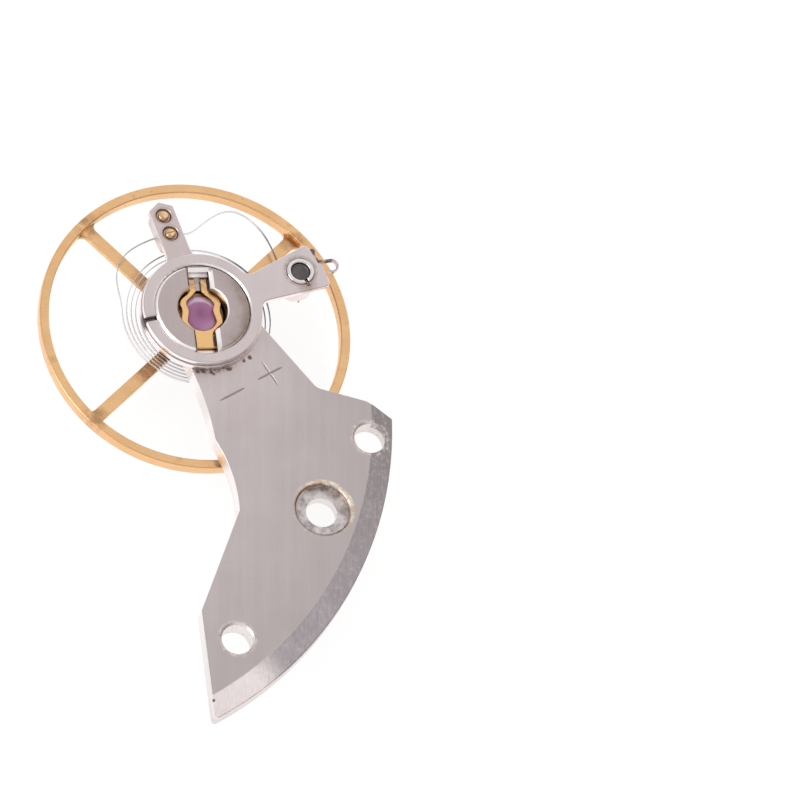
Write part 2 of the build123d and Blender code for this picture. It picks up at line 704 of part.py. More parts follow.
# Hairspring: one flat ribbon. Its radius at an angle runs from the tail past the stud, out in an open
# curve, level between the regulator's pin and boot, in to the coils, and into the collet's hole.
tail_start_angle = stud_angle - 8
stud_leave_angle = stud_angle + 6
bulge_angle = 102.0
pins_start_angle = lever_angle - 14.5
pins_end_angle = lever_angle + 17.5
coil_start_angle = 230.0
coil_turns = (coil_outer_r - coil_inner_r) / coil_pitch
coil_end_angle = coil_start_angle + 360 * coil_turns
collet_enter_angle = coil_end_angle + 80
spring_end_angle = collet_enter_angle + 30


def eased(angle, start, end, first, last):
    """A value that runs smoothly from first to last as the angle goes from start to end."""
    share = (angle - start) / (end - start)
    return first + (last - first) * (1 - cos(pi * share)) / 2


def spring_radius(angle):
    """The ribbon's distance from the balance axis at an angle along its length."""
    if angle <= stud_leave_angle:
        return stud_reach
    if angle <= bulge_angle:
        return eased(angle, stud_leave_angle, bulge_angle, stud_reach, spring_bulge_r)
    if angle <= pins_start_angle:
        return eased(angle, bulge_angle, pins_start_angle, spring_bulge_r, spring_pins_r)
    if angle <= pins_end_angle:
        return spring_pins_r
    if angle <= coil_start_angle:
        return eased(angle, pins_end_angle, coil_start_angle, spring_pins_r, coil_outer_r)
    if angle <= coil_end_angle:
        return coil_outer_r - coil_pitch * (angle - coil_start_angle) / 360
    if angle <= collet_enter_angle:
        return eased(angle, coil_end_angle, collet_enter_angle, coil_inner_r, collet_hole_reach)
    return collet_hole_reach


def spring_point(angle):
    """A point on the ribbon's middle line."""
    return Vector(*along(spring_radius(angle), angle), spring_mid)


def spring_heading(angle, step=0.5):
    """The direction in which the ribbon runs at an angle."""
    return (spring_point(angle + step) - spring_point(angle - step)).normalized()


def stepped(start, end, step):
    """Angles from start up to but not including end, in equal steps of about the given size."""
    count = round((end - start) / step)
    return [start + (end - start) * index / count for index in range(count)]


def biarc(first, first_heading, last, last_heading):
    """Two arcs that join two points and keep the heading at both."""
    chord = last - first
    turn = 1 - first_heading.dot(last_heading)
    reach = chord.dot(first_heading + last_heading)
    if turn < 1e-9:
        size = chord.dot(chord) / (2 * reach)
    else:
        size = (-reach + sqrt(reach**2 + 2 * turn * chord.dot(chord))) / (2 * turn)
    first_corner = first + first_heading * size
    last_corner = last - last_heading * size
    middle = (first_corner + last_corner) * 0.5
    TangentArc(first, middle, tangent=first_heading)
    TangentArc(middle, last, tangent=last_corner - first_corner)


spring_knots = (stepped(tail_start_angle, coil_start_angle, 12)
                + stepped(coil_start_angle, coil_end_angle, 90)
                + stepped(coil_end_angle, spring_end_angle, 20) + [spring_end_angle])

with BuildPart() as hairspring:
    with BuildLine() as spring_path:
        for start, end in zip(spring_knots, spring_knots[1:]):
            biarc(spring_point(start), spring_heading(start), spring_point(end), spring_heading(end))
    spring_wire = spring_path.wire()
    with BuildSketch(Plane(origin=spring_wire @ 0, x_dir=(0, 0, 1), z_dir=spring_wire % 0)):
        Rectangle(spring_h, spring_thick)
    sweep(path=spring_wire)
hairspring.part.label = "hairspring"
export_step(hairspring.part, "parts/hairspring.step")

# The ribbon's least gap to itself, measured on points at least half a turn of the spiral apart
sample_step = 3
sample_angles = [tail_start_angle + sample_step * index
                 for index in range(int((spring_end_angle - tail_start_angle) / sample_step))]
samples = [spring_point(angle) for angle in sample_angles]
nearest = min((samples[i] - samples[j]).length
              for i in range(len(samples)) for j in range(i + 180 // sample_step, len(samples)))
print(f"hairspring: length {spring_wire.length:.2f}, least gap to itself {nearest - spring_thick:.3f}, "
      f"volume {hairspring.part.volume:.4f} for {spring_wire.length * spring_h * spring_thick:.4f}")

# Collet: a ring on the staff with a cross hole for the spring's inner end
hole_middle_angle = (collet_enter_angle + spring_end_angle) / 2
with BuildPart() as collet:
    with BuildSketch(Plane.XY.offset(collet_z)):
        Circle(collet_r)
        Circle(collet_seat_r, mode=Mode.SUBTRACT)
    extrude(amount=collet_h)
    with BuildSketch(upright_plane(hole_middle_angle).offset(-collet_r - overrun)):
        with Locations((collet_hole_reach, spring_mid)):
            Circle(spring_hole_r)
    extrude(amount=2 * (collet_r + overrun), mode=Mode.SUBTRACT)
collet.part.label = "collet"
export_step(collet.part, "parts/collet.step")

# Collet pin: holds the spring's inner end in the collet
with BuildPart() as collet_pin:
    with BuildSketch(upright_plane(hole_middle_angle).offset(-collet_seat_r)):
        with Locations((collet_hole_reach + spring_pin_offset, spring_mid)):
            Circle(spring_pin_r)
    extrude(amount=2 * collet_seat_r)
collet_pin.part.label = "collet_pin"
export_step(collet_pin.part, "parts/collet_pin.step")

# Balance staff: a turned axle with a pivot at each end
with BuildPart() as balance_staff:
    with BuildSketch(upright_plane()):
        with BuildLine():
            shank_top = collet_top + upper_shank_len
            cone_top = shank_top + upper_cone_len
            Polyline((0, 0), (pivot_r, 0), (pivot_r, lower_pivot_len), (roller_seat_r, roller_z),
                     (roller_seat_r, hub_z), (hub_r, hub_z), (hub_r, wheel_z), (wheel_seat_r, wheel_z),
                     (wheel_seat_r, arm_top + rivet_h), (collet_seat_r, arm_top + rivet_h),
                     (collet_seat_r, collet_top), (upper_shank_r, collet_top), (upper_shank_r, shank_top),
                     (pivot_r, cone_top), (pivot_r, upper_pivot_top), (0, upper_pivot_top), close=True)
        make_face()
    revolve(axis=Axis.Z)
    pivot_tips = balance_staff.edges().filter_by(GeomType.CIRCLE)
    chamfer([pivot_tips.sort_by(Axis.Z)[0], pivot_tips.sort_by(Axis.Z)[-1]], pivot_r / 4)
balance_staff.part.label = "balance_staff"
export_step(balance_staff.part, "parts/balance_staff.step")

# Balance wheel: the rim stands above its thin arms
with BuildPart() as balance_wheel:
    with BuildSketch(Plane.XY.offset(wheel_z)) as wheel_arms:
        rim_middle_r = wheel_r - rim_w / 2
        Circle(wheel_r)
        Circle(rim_inner_r, mode=Mode.SUBTRACT)
        with PolarLocations(0, arm_count, start_angle=arm_angle):
            Rectangle(rim_middle_r, arm_w, align=(Align.MIN, Align.CENTER))
        meeting = asin(arm_w / 2 / rim_inner_r)
        for index in range(arm_count):
            for side in (1, -1):
                x, y = along(rim_inner_r, arm_angle + index * 360 / arm_count + side * degrees(meeting))
                fillet(wheel_arms.vertices().sort_by_distance(Vector(x, y))[0], arm_root_fillet)
        Circle(wheel_boss_r)
        Circle(wheel_seat_r, mode=Mode.SUBTRACT)
    extrude(amount=arm_thick)
    with BuildSketch(Plane.XY.offset(wheel_z)):
        Circle(wheel_r)
        Circle(rim_inner_r, mode=Mode.SUBTRACT)
    extrude(amount=rim_h)
    rim_edges = balance_wheel.edges().filter_by(GeomType.CIRCLE).group_by(Axis.Z)[-1]
    chamfer(rim_edges, edge_break)
balance_wheel.part.label = "balance_wheel"
export_step(balance_wheel.part, "parts/balance_wheel.step")

# Double roller: the safety roller below, with its crescent, and the roller table above
with BuildPart() as double_roller:
    with BuildSketch(upright_plane()):
        with BuildLine():
            Polyline((roller_seat_r, roller_z), (safety_r, roller_z), (safety_r, roller_z + safety_h),
                     (roller_neck_r, roller_z + safety_h), (roller_neck_r, table_z), (table_r, table_z),
                     (table_r, hub_z), (roller_seat_r, hub_z), close=True)
        make_face()
    revolve(axis=Axis.Z)
    with BuildSketch(flat_plane(roller_z, impulse_angle)):
        with Locations((crescent_reach, 0)):
            Circle(crescent_r)
    extrude(amount=safety_h, mode=Mode.SUBTRACT)
    with BuildSketch(flat_plane(hub_z, impulse_angle)):
        with Locations((impulse_reach, 0)):
            Circle(impulse_r)
            with Locations((impulse_flat, 0)):
                Rectangle(impulse_r, 2 * impulse_r, align=(Align.MIN, Align.CENTER), mode=Mode.SUBTRACT)
    extrude(amount=-table_thick, mode=Mode.SUBTRACT)
double_roller.part.label = "double_roller"
export_step(double_roller.part, "parts/double_roller.step")

# Impulse jewel: a pin with a flat front, pressed into the roller table
with BuildPart() as impulse_jewel:
    with BuildSketch(flat_plane(hub_z + impulse_proud, impulse_angle)):
        with Locations((impulse_reach, 0)):
            Circle(impulse_r)
            with Locations((impulse_flat, 0)):
                Rectangle(impulse_r, 2 * impulse_r, align=(Align.MIN, Align.CENTER), mode=Mode.SUBTRACT)
    extrude(amount=-impulse_proud - table_thick - impulse_drop)
impulse_jewel.part.label = "impulse_jewel"
export_step(impulse_jewel.part, "parts/impulse_jewel.step")
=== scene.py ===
from math import acos, asin, atan2, ceil, cos, degrees, hypot, pi, radians, sin, sqrt, tan

import bmesh
import bpy
from mathutils import Matrix, Vector
from mathutils.geometry import tessellate_polygon
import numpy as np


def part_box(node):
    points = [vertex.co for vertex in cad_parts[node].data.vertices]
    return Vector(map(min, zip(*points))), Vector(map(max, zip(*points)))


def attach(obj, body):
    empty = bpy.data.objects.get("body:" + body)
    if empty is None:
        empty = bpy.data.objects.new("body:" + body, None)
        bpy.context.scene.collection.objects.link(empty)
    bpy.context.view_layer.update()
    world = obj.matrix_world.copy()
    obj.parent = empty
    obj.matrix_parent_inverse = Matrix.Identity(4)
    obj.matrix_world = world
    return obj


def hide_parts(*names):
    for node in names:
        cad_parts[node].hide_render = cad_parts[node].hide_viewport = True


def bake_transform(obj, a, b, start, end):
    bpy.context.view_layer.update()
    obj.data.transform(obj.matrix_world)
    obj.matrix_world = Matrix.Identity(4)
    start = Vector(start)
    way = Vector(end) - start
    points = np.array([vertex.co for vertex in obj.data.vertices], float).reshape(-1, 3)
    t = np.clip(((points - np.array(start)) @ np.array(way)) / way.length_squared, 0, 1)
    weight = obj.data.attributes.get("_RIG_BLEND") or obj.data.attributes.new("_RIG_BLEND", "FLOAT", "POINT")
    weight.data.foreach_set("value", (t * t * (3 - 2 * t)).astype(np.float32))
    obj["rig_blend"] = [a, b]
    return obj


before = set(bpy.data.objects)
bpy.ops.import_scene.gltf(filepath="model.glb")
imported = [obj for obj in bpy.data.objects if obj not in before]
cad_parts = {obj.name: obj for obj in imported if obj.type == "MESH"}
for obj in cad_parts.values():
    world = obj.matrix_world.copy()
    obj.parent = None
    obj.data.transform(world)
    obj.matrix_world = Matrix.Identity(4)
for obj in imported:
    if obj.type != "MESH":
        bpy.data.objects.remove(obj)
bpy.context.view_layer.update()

MM = 0.001
weld = 1e-5
overrun = 0.5
running_gap = 0.01
arc_step = 2.5
ease = 0.02
axis = (0, 0)
brush_angle = 119.6


def bottom(node):
    """The height of a solid's underside, in millimetres."""
    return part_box(node)[0].z / MM


def top(node):
    """The height of a solid's top, in millimetres."""
    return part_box(node)[1].z / MM


# Places in the plane


def along(reach, angle, middle=(0, 0)):
    """The point at a reach from a middle, in the direction of an angle in degrees."""
    return (middle[0] + reach * cos(radians(angle)), middle[1] + reach * sin(radians(angle)))


def direction(point):
    """The angle in degrees at which a point is seen from the balance axis."""
    return degrees(atan2(point[1], point[0]))


def turned(point, angle):
    """A point turned about the balance axis."""
    c, s = cos(radians(angle)), sin(radians(angle))
    return (point[0] * c - point[1] * s, point[0] * s + point[1] * c)


def turned_points(points, angle):
    """Points turned about the balance axis."""
    return [turned(point, angle) for point in points]


def moved(points, way):
    """Points moved a way."""
    return [(x + way[0], y + way[1]) for x, y in points]


def arc(radius, start, end, middle=(0, 0), step=arc_step):
    """Points along an arc."""
    count = max(2, ceil(abs(end - start) / step))
    return [along(radius, start + (end - start) * i / count, middle) for i in range(count + 1)]


def ring(radius, middle=(0, 0), step=arc_step):
    """Points round a full circle."""
    return arc(radius, 0, 360, middle, step)[:-1]


def arc_through(start, via, end):
    """Points along the arc from start to end through a point on the way."""
    (ax, ay), (bx, by), (cx, cy) = start, via, end
    d = 2 * (ax * (by - cy) + bx * (cy - ay) + cx * (ay - by))
    a, b, c = ax * ax + ay * ay, bx * bx + by * by, cx * cx + cy * cy
    middle = ((a * (by - cy) + b * (cy - ay) + c * (ay - by)) / d,
              (a * (cx - bx) + b * (ax - cx) + c * (bx - ax)) / d)
    angles = [degrees(atan2(y - middle[1], x - middle[0])) for x, y in (start, via, end)]
    turn = (angles[2] - angles[0]) % 360
    if (angles[1] - angles[0]) % 360 > turn:
        turn -= 360
    return arc(hypot(ax - middle[0], ay - middle[1]), angles[0], angles[0] + turn, middle)


def without_start(run, length):
    """A run of points without its first stretch of a length."""
    for index, (a, b) in enumerate(zip(run, run[1:])):
        span = hypot(b[0] - a[0], b[1] - a[1])
        if length < span:
            share = length / span
            return [(a[0] + (b[0] - a[0]) * share, a[1] + (b[1] - a[1]) * share)] + run[index + 1:]
        length -= span
    return run[-1:]


def loop(corners, step=12):
    """A closed outline. Each corner is (point, rounding) and, where an arc follows, a point on it."""
    runs = []
    for (start, _, *via), (end, *_) in zip(corners, corners[1:] + corners[:1]):
        runs.append(arc_through(start, via[0], end) if via else [start, end])
    curves = []
    for index, (corner, rounding, *_) in enumerate(corners):
        before, after = runs[index - 1], runs[index]
        heading = atan2(before[-1][1] - before[-2][1], before[-1][0] - before[-2][0])
        leaving = atan2(after[1][1] - after[0][1], after[1][0] - after[0][0])
        turn = abs((leaving - heading + pi) % (2 * pi) - pi)
        if rounding == 0 or turn < 0.01:
            curves.append([])
            continue
        trim = rounding * tan(turn / 2)
        runs[index - 1] = without_start(before[::-1], trim)[::-1]
        runs[index] = without_start(after, trim)
        first, last = runs[index - 1][-1], runs[index][0]
        steps = max(3, ceil(degrees(turn) / step))
        pull = cos(turn / 2)
        curve = []
        for i in range(1, steps):
            s = i / steps
            parts = ((1 - s) ** 2, 2 * s * (1 - s) * pull, s * s)
            curve.append(tuple((parts[0] * f + parts[1] * c + parts[2] * e) / sum(parts)
                               for f, c, e in zip(first, corner, last)))
        curves.append(curve)
    points = []
    for run, curve in zip(runs, curves):
        points += curve + run
    return [p for p, q in zip(points, points[1:] + points[:1]) if hypot(p[0] - q[0], p[1] - q[1]) > weld]


def smooth_run(points, steps=6):
    """A smooth run of points through the given ones."""
    ends = [points[0]] + list(points) + [points[-1]]
    run = []
    for p, q, r, s in zip(ends, ends[1:], ends[2:], ends[3:]):
        for i in range(steps):
            t = i / steps
            run.append(tuple(0.5 * (2 * b + (c - a) * t + (2 * a - 5 * b + 4 * c - d) * t * t
                                    + (3 * b - a - 3 * c + d) * t**3) for a, b, c, d in zip(p, q, r, s)))
    return run + [points[-1]]


# Sizes and places, in millimetres and degrees. Heights follow the frame's solids.
# Balance cock
calibre_radius = 12.75
bevel_run = 0.70
bevel_drop = 0.15
band_start = calibre_radius - bevel_run
screw_r = 0.50
recess_r = 0.86
recess_depth = 0.26
dowel_r = 0.50
dowel_land = 0.24
seat_r = 1.10
relief_r = 5.30
relief_depth = 0.04
cock_z = bottom("balance_cock")
cock_top = top("balance_cock")


def cock_point(across_share, up_share):
    """A place on the cock from its shares of the calibre's radius."""
    return (across_share * calibre_radius, up_share * calibre_radius)


calibre_centre = cock_point(-0.3137, -0.4863)
band_tip = along(calibre_radius, -26.6, calibre_centre)
near_dowel_y = -0.0463 * calibre_radius
dowel_to_centre = calibre_radius - dowel_land - dowel_r
hole_line_x = calibre_centre[0] + sqrt(dowel_to_centre**2 - (near_dowel_y - calibre_centre[1]) ** 2)
screw_place = (hole_line_x, -0.2855 * calibre_radius)
dowel_places = ((hole_line_x, near_dowel_y), (hole_line_x, -0.7161 * calibre_radius))
mark_reach = 2.90
mark_turn = 63.5
mark_length = 1.0
mark_w = 0.08
mark_depth = 0.052
plus_place = along(mark_reach, -10.0)
minus_place = along(mark_reach, -39.5)
dirt_places = (((0.93, -1.81), 0.07), ((1.09, -1.69), 0.09), ((1.30, -1.56), 0.07), ((1.41, -1.58), 0.06),
               ((1.67, -1.16), 0.08), ((1.75, -1.11), 0.06), ((1.96, -0.62), 0.07), ((2.07, -0.40), 0.09),
               ((7.05, -11.40), 0.06))
# Middle of the painted shade at the foot of the regulator ring.
ring_foot_shade_place = (1.35, -1.50)

# Shock block, setting and jewels
block_r = 1.533
well_r = 0.80
setting_r = 0.74
cap_jewel_r = 0.62
hole_jewel_r = 0.42
slot_angle = 126.5
block_top = top("shock_block")
setting_z = bottom("jewel_setting")
cap_z = bottom("cap_jewel")
hole_jewel_z = bottom("hole_jewel")
lyre_mid = bottom("shock_spring") + 0.05
lyre_low = lyre_mid - 0.04
slot_floor = lyre_low - 0.03
slot_half = 0.425 * well_r
slot_bevel = 0.12
shelf_end = 1.65 * well_r
cone_h = 0.17
hinge_place = along(-1.525 * well_r, slot_angle)
# Centre of the shock block's painted dark sheen, which grows away from it.
dark_sheen_centre = (-0.62, -0.40)

# Lyre spring: half of its outer and inner edge, as shares of the well's radius, from tail to legs
lyre_outer_shares = ((-1.10, 0.35), (-0.97, 0.365), (-0.84, 0.42), (-0.70, 0.56), (-0.48, 0.80),
                     (-0.24, 0.81), (0.02, 0.76), (0.19, 0.77), (0.37, 0.82), (0.60, 0.72), (0.80, 0.47),
                     (0.94, 0.363))
lyre_inner_shares = ((-0.825, 0.00), (-0.77, 0.26), (-0.63, 0.45), (-0.42, 0.58), (-0.21, 0.55),
                     (0.02, 0.50), (0.15, 0.50), (0.33, 0.56), (0.51, 0.52), (0.70, 0.32), (0.92, 0.11))

# Regulator with its pin and boot
lever_angle = 140.5
regulator_ring_r = 1.963
lever_half_w = 0.41
pin_reach = 3.48
boot_reach = 2.84
head_places = [along(reach, lever_angle) for reach in (pin_reach, boot_reach)]
head_r = 0.175
pin_shank_r = 0.10
boot_shank_r = 0.13
bore_r = block_r + running_gap
spring_mid = (bottom("hairspring") + top("hairspring")) / 2
regulator_foot = bottom("regulator")
regulator_low = regulator_foot + 0.30
regulator_top = top("regulator")

# Stud carrier and what it holds
stud_angle = 57.2
stud_reach = 3.53
carrier_ring_r = 1.924
carrier_end_r = 4.29
carrier_slit_angle = -132.7
clip_seat_r = 4.21
clip_knob = along(clip_seat_r + 0.03, 6.7)
clip_knob_r = 0.09
clip_bend = along(clip_seat_r + 0.03, 1.7)
clip_hook_top = (carrier_end_r + 0.29, 0.03)
collar_r = 0.44
collar_slit_w = 0.10
collar_slit_turn = -86.0
carrier_low = bottom("stud_carrier")
carrier_top = top("stud_carrier")
stud_place = along(stud_reach, stud_angle)
collar_stain_place = along(stud_reach + 0.02, stud_angle - 8.5)

# Balance
wheel_r = 5.0
rim_w = 0.31
rim_inner_r = wheel_r - rim_w
arm_w = 0.42
arm_thick = 0.16
arm_angle = 77.5
arm_count = 4
arm_angles = [arm_angle + 360 * index / arm_count for index in range(arm_count)]
boss_r = 0.85
wheel_z = bottom("balance_wheel")
rim_top = top("balance_wheel")
arm_top = wheel_z + arm_thick
collet_z = bottom("collet")
collet_top = top("collet")
collet_r = 0.64
hub_z = top("double_roller")
roller_z = bottom("double_roller")
pivot_r = 0.05
hub_r = 0.28
wheel_seat_r = 0.40
impulse_angle = direction(calibre_centre)

# Hairspring
spring_thick = 0.024
spring_h = 0.10
spring_bulge_r = rim_inner_r - 0.34
spring_pins_r = 3.23
coil_outer_r = 2.42
coil_inner_r = 0.84
collet_hole_reach = 0.46
solid_pitch = 0.46
solid_coil_start = 230.0
coil_start = 212.0
added_turns = 7
coil_end = solid_coil_start + 360 * ((coil_outer_r - coil_inner_r) / solid_pitch + added_turns)
collet_enter = coil_end + 80
spring_end = collet_enter + 30
tail_start = stud_angle - 8
stud_leave = stud_angle + 6
bulge_angle = 102.0
pins_start = lever_angle - 14.5
pins_end = lever_angle + 17.5
coil_shift = (-0.13, 0.36)
hole_angle = collet_enter + 15
spring_stations = ((tail_start, stud_reach), (stud_leave, stud_reach), (bulge_angle, spring_bulge_r),
                   (pins_start, spring_pins_r), (pins_end, spring_pins_r), (coil_start, coil_outer_r),
                   (coil_end, coil_inner_r), (collet_enter, collet_hole_reach))
dark_turn_place = along(coil_outer_r, 158.0)


# Solids


def placed(name, data):
    """A new object in the scene."""
    shape = bpy.data.objects.new(name, data)
    bpy.context.scene.collection.objects.link(shape)
    return shape


def made(name, mesh_builder):
    """A new object from a bmesh, with its faces turned outwards."""
    bmesh.ops.remove_doubles(mesh_builder, verts=mesh_builder.verts, dist=weld)
    bmesh.ops.recalc_face_normals(mesh_builder, faces=mesh_builder.faces)
    mesh = bpy.data.meshes.new(name)
    mesh_builder.to_mesh(mesh)
    mesh_builder.free()
    return placed(name, mesh)


def joined(builder, rows):
    """Faces between each closed row of vertices and the next."""
    for lower, upper in zip(rows, rows[1:]):
        for i in range(len(lower)):
            j = (i + 1) % len(lower)
            corners = list(dict.fromkeys((lower[i], lower[j], upper[j], upper[i])))
            if len(corners) > 2:
                builder.faces.new(corners)


def area(points):
    """The signed area of a loop, positive when it runs anticlockwise."""
    return sum(x1 * y2 - x2 * y1 for (x1, y1), (x2, y2) in zip(points, points[1:] + points[:1])) / 2


def drawn_in(points, depth):
    """A loop moved by a depth to its left."""
    inner = []
    for before, here, after in zip(points[-1:] + points[:-1], points, points[1:] + points[:1]):
        first = Vector((here[0] - before[0], here[1] - before[1])).normalized()
        second = Vector((after[0] - here[0], after[1] - here[1])).normalized()
        normal = Vector((-first.y - second.y, first.x + second.x))
        normal.normalize()
        stretch = max(0.5, normal.dot(Vector((-first.y, first.x))))
        inner.append((here[0] + normal.x * depth / stretch, here[1] + normal.y * depth / stretch))
    return inner


def plate(name, loops, low, high, rounding=ease):
    """A flat piece from an outline and its holes, with rounded upper and lower edges."""
    loops = [points if (area(points) > 0) == (index == 0) else points[::-1]
             for index, points in enumerate(loops)]
    edge = [(rounding * (1 - sin(a)), rounding * (1 - cos(a))) for a in (0, pi / 6, pi / 3, pi / 2)]
    levels = [(inset, low + lift) for inset, lift in edge] if rounding else [(0, low)]
    levels += [(inset, high - lift) for inset, lift in reversed(edge)] if rounding else [(0, high)]
    builder = bmesh.new()
    caps = ([], [])
    for points in loops:
        rows = []
        for inset, height in levels:
            shifted = drawn_in(points, inset) if inset else points
            rows.append([builder.verts.new((x, y, height)) for x, y in shifted])
        joined(builder, rows)
        caps[0].append(rows[0])
        caps[1].append(rows[-1])
    for cap in caps:
        corners = [vert for row in cap for vert in row]
        for triangle in tessellate_polygon([[vert.co for vert in row] for row in cap]):
            builder.faces.new([corners[i] for i in triangle])
    bmesh.ops.dissolve_limit(builder, angle_limit=radians(0.2), verts=builder.verts, edges=builder.edges)
    return made(name, builder)


def lathe(name, profile, middle=(0, 0), rounding=ease, steps=144):
    """A turned piece from its closed half section, given as (radius, height) points."""
    rounded = loop([((r, z), 0 if r == 0 else rounding) for r, z in profile], step=30)
    builder = bmesh.new()
    rows = []
    for r, z in rounded:
        if r < 1e-6:
            rows.append([builder.verts.new((middle[0], middle[1], z))] * steps)
        else:
            rows.append([builder.verts.new((*along(r, 360 * i / steps, middle), z)) for i in range(steps)])
    joined(builder, rows + rows[:1])
    return made(name, builder)


def drum(name, inner, outer, low, high, middle=(0, 0), rounding=ease, steps=144):
    """A turned piece with a rectangular half section."""
    profile = ((inner, low), (outer, low), (outer, high), (inner, high))
    return lathe(name, profile, middle, rounding, steps)


def rod(name, middle, angle, height, radii, half_length, rounding):
    """A level round rod in the direction of an angle, tapered from the first radius to the second."""
    profile = ((0, -half_length), (radii[0], -half_length), (radii[1], half_length), (0, half_length))
    shape = lathe(name, profile, rounding=rounding, steps=32)
    turn = Matrix.Rotation(radians(angle), 4, "Z") @ Matrix.Rotation(pi / 2, 4, "Y")
    shape.data.transform(Matrix.Translation((*middle, height)) @ turn)
    return shape


def cross_hole(middle, angle):
    """A cutter for the level hole that one end of the hairspring goes into."""
    return rod("hole", middle, angle + 90, spring_mid, (0.11, 0.11), 1.0, rounding=0)


def taper_pin(name, hole_reach, angle, radii, half_length):
    """The taper pin beside the ribbon in its hole."""
    middle = along(hole_reach + 0.0675, angle)
    return rod(name, middle, angle + 90, spring_mid, radii, half_length, rounding=0.01)


def swept(name, sections):
    """A solid through sections with as many points each, closed at both ends."""
    builder = bmesh.new()
    rows = [[builder.verts.new(point) for point in section] for section in sections]
    joined(builder, rows)
    builder.faces.new(rows[0])
    builder.faces.new(rows[-1])
    return made(name, builder)


def slot_cutter(name, section, start, end, angle):
    """A level prism for cutting a slot. Its section is given as (across, height) points."""
    return swept(name, [[(*turned((reach, y), angle), z) for y, z in section] for reach in (start, end)])


def groove_cutter(name, middle, angle):
    """A stroke engraved in the cock's top: a V-shaped groove that runs out at both ends."""
    sections, steps, thinnest = [], 16, 0.12
    for i in range(steps + 1):
        share = 2 * i / steps - 1
        fade = max(thinnest, sqrt(1 - share**4))
        x, lip, deep = share * mark_length / 2, mark_w / 2 * fade, mark_depth * fade
        sections.append(((x, -2 * lip, deep), (x, 0, -deep), (x, 2 * lip, deep)))
    shape = swept(name, sections)
    shape.data.transform(Matrix.Translation((*middle, cock_top)) @ Matrix.Rotation(radians(angle), 4, "Z"))
    return shape


def combined(shape, others, operation):
    """A shape after others are cut from it or joined to it. The others are used up."""
    for other in others:
        modifier = shape.modifiers.new(operation, "BOOLEAN")
        modifier.operation = operation
        modifier.solver = "EXACT"
        modifier.object = other
    evaluated = shape.evaluated_get(bpy.context.evaluated_depsgraph_get())
    mesh = bpy.data.meshes.new_from_object(evaluated)
    shape.modifiers.clear()
    shape.data = mesh
    for other in others:
        bpy.data.objects.remove(other)
    builder = bmesh.new()
    builder.from_mesh(mesh)
    bmesh.ops.remove_doubles(builder, verts=builder.verts, dist=2 * weld)
    bmesh.ops.dissolve_degenerate(builder, edges=builder.edges, dist=2 * weld)
    bmesh.ops.holes_fill(builder, edges=[edge for edge in builder.edges if len(edge.link_faces) == 1])
    builder.to_mesh(mesh)
    builder.free()
    return shape


def cut(shape, *others):
    """A shape with others cut out of it."""
    return combined(shape, others, "DIFFERENCE")


def fused(shape, *others):
    """A shape with others joined to it in one solid."""
    return combined(shape, others, "UNION")


def crisp_levels(mesh, tilt):
    """Makes the border of every face that tilts less than an angle from level a sharp one."""
    flush = 2
    builder = bmesh.new()
    builder.from_mesh(mesh)
    for edge in builder.edges:
        if len(edge.link_faces) == 2 and edge.calc_face_angle() > radians(flush):
            if max(abs(face.normal.z) for face in edge.link_faces) > cos(radians(tilt)):
                edge.smooth = False
    builder.to_mesh(mesh)
    builder.free()


def shaded(mesh, crease):
    """Shades a mesh smooth but for its edges that turn by more than an angle."""
    for face in mesh.polygons:
        face.use_smooth = True
    mesh.set_sharp_from_angle(angle=radians(crease))


def finished(shape, nodes, body, material, tilt=0.5):
    """Brings a piece to its real size, shades it, and puts it in the place of its solids."""
    mesh = shape.data
    shaded(mesh, crease=35)
    crisp_levels(mesh, tilt)
    mesh.transform(Matrix.Scale(MM, 4))
    mesh.materials.clear()
    mesh.materials.append(material)
    modifier = shape.modifiers.new("even_shading", "WEIGHTED_NORMAL")
    modifier.keep_sharp = True
    modifier.weight = 80
    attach(shape, body)
    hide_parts(*nodes)


# Materials


class Value:
    """A value or colour that varies over a surface. Sums (+), products (*) and the larger (|) are nodes."""

    def __init__(self, nodes, socket):
        self.nodes, self.socket = nodes, socket

    def math(self, operation, other=0.0):
        """The value combined with another."""
        return self.nodes.add("Math", {0: self, 1: other}, operation=operation)

    def __add__(self, other):
        return self.math("ADD", other)

    def __mul__(self, other):
        return self.math("MULTIPLY", other)

    def __or__(self, other):
        return self.math("MAXIMUM", other)

    def ramp(self, low, high, to_low=0.0, to_high=1.0):
        """The value brought from one range to another, and kept in it."""
        sockets = {"Value": self, "From Min": low, "From Max": high, "To Min": to_low, "To Max": to_high}
        return self.nodes.add("MapRange", sockets, "Result")

    def near(self, target, width, core=0.6):
        """A share that is one at a target and fades to nothing at a width from it."""
        off = self.math("SUBTRACT", target).math("ABSOLUTE")
        return off.ramp(width * core, width, 1.0, 0.0)


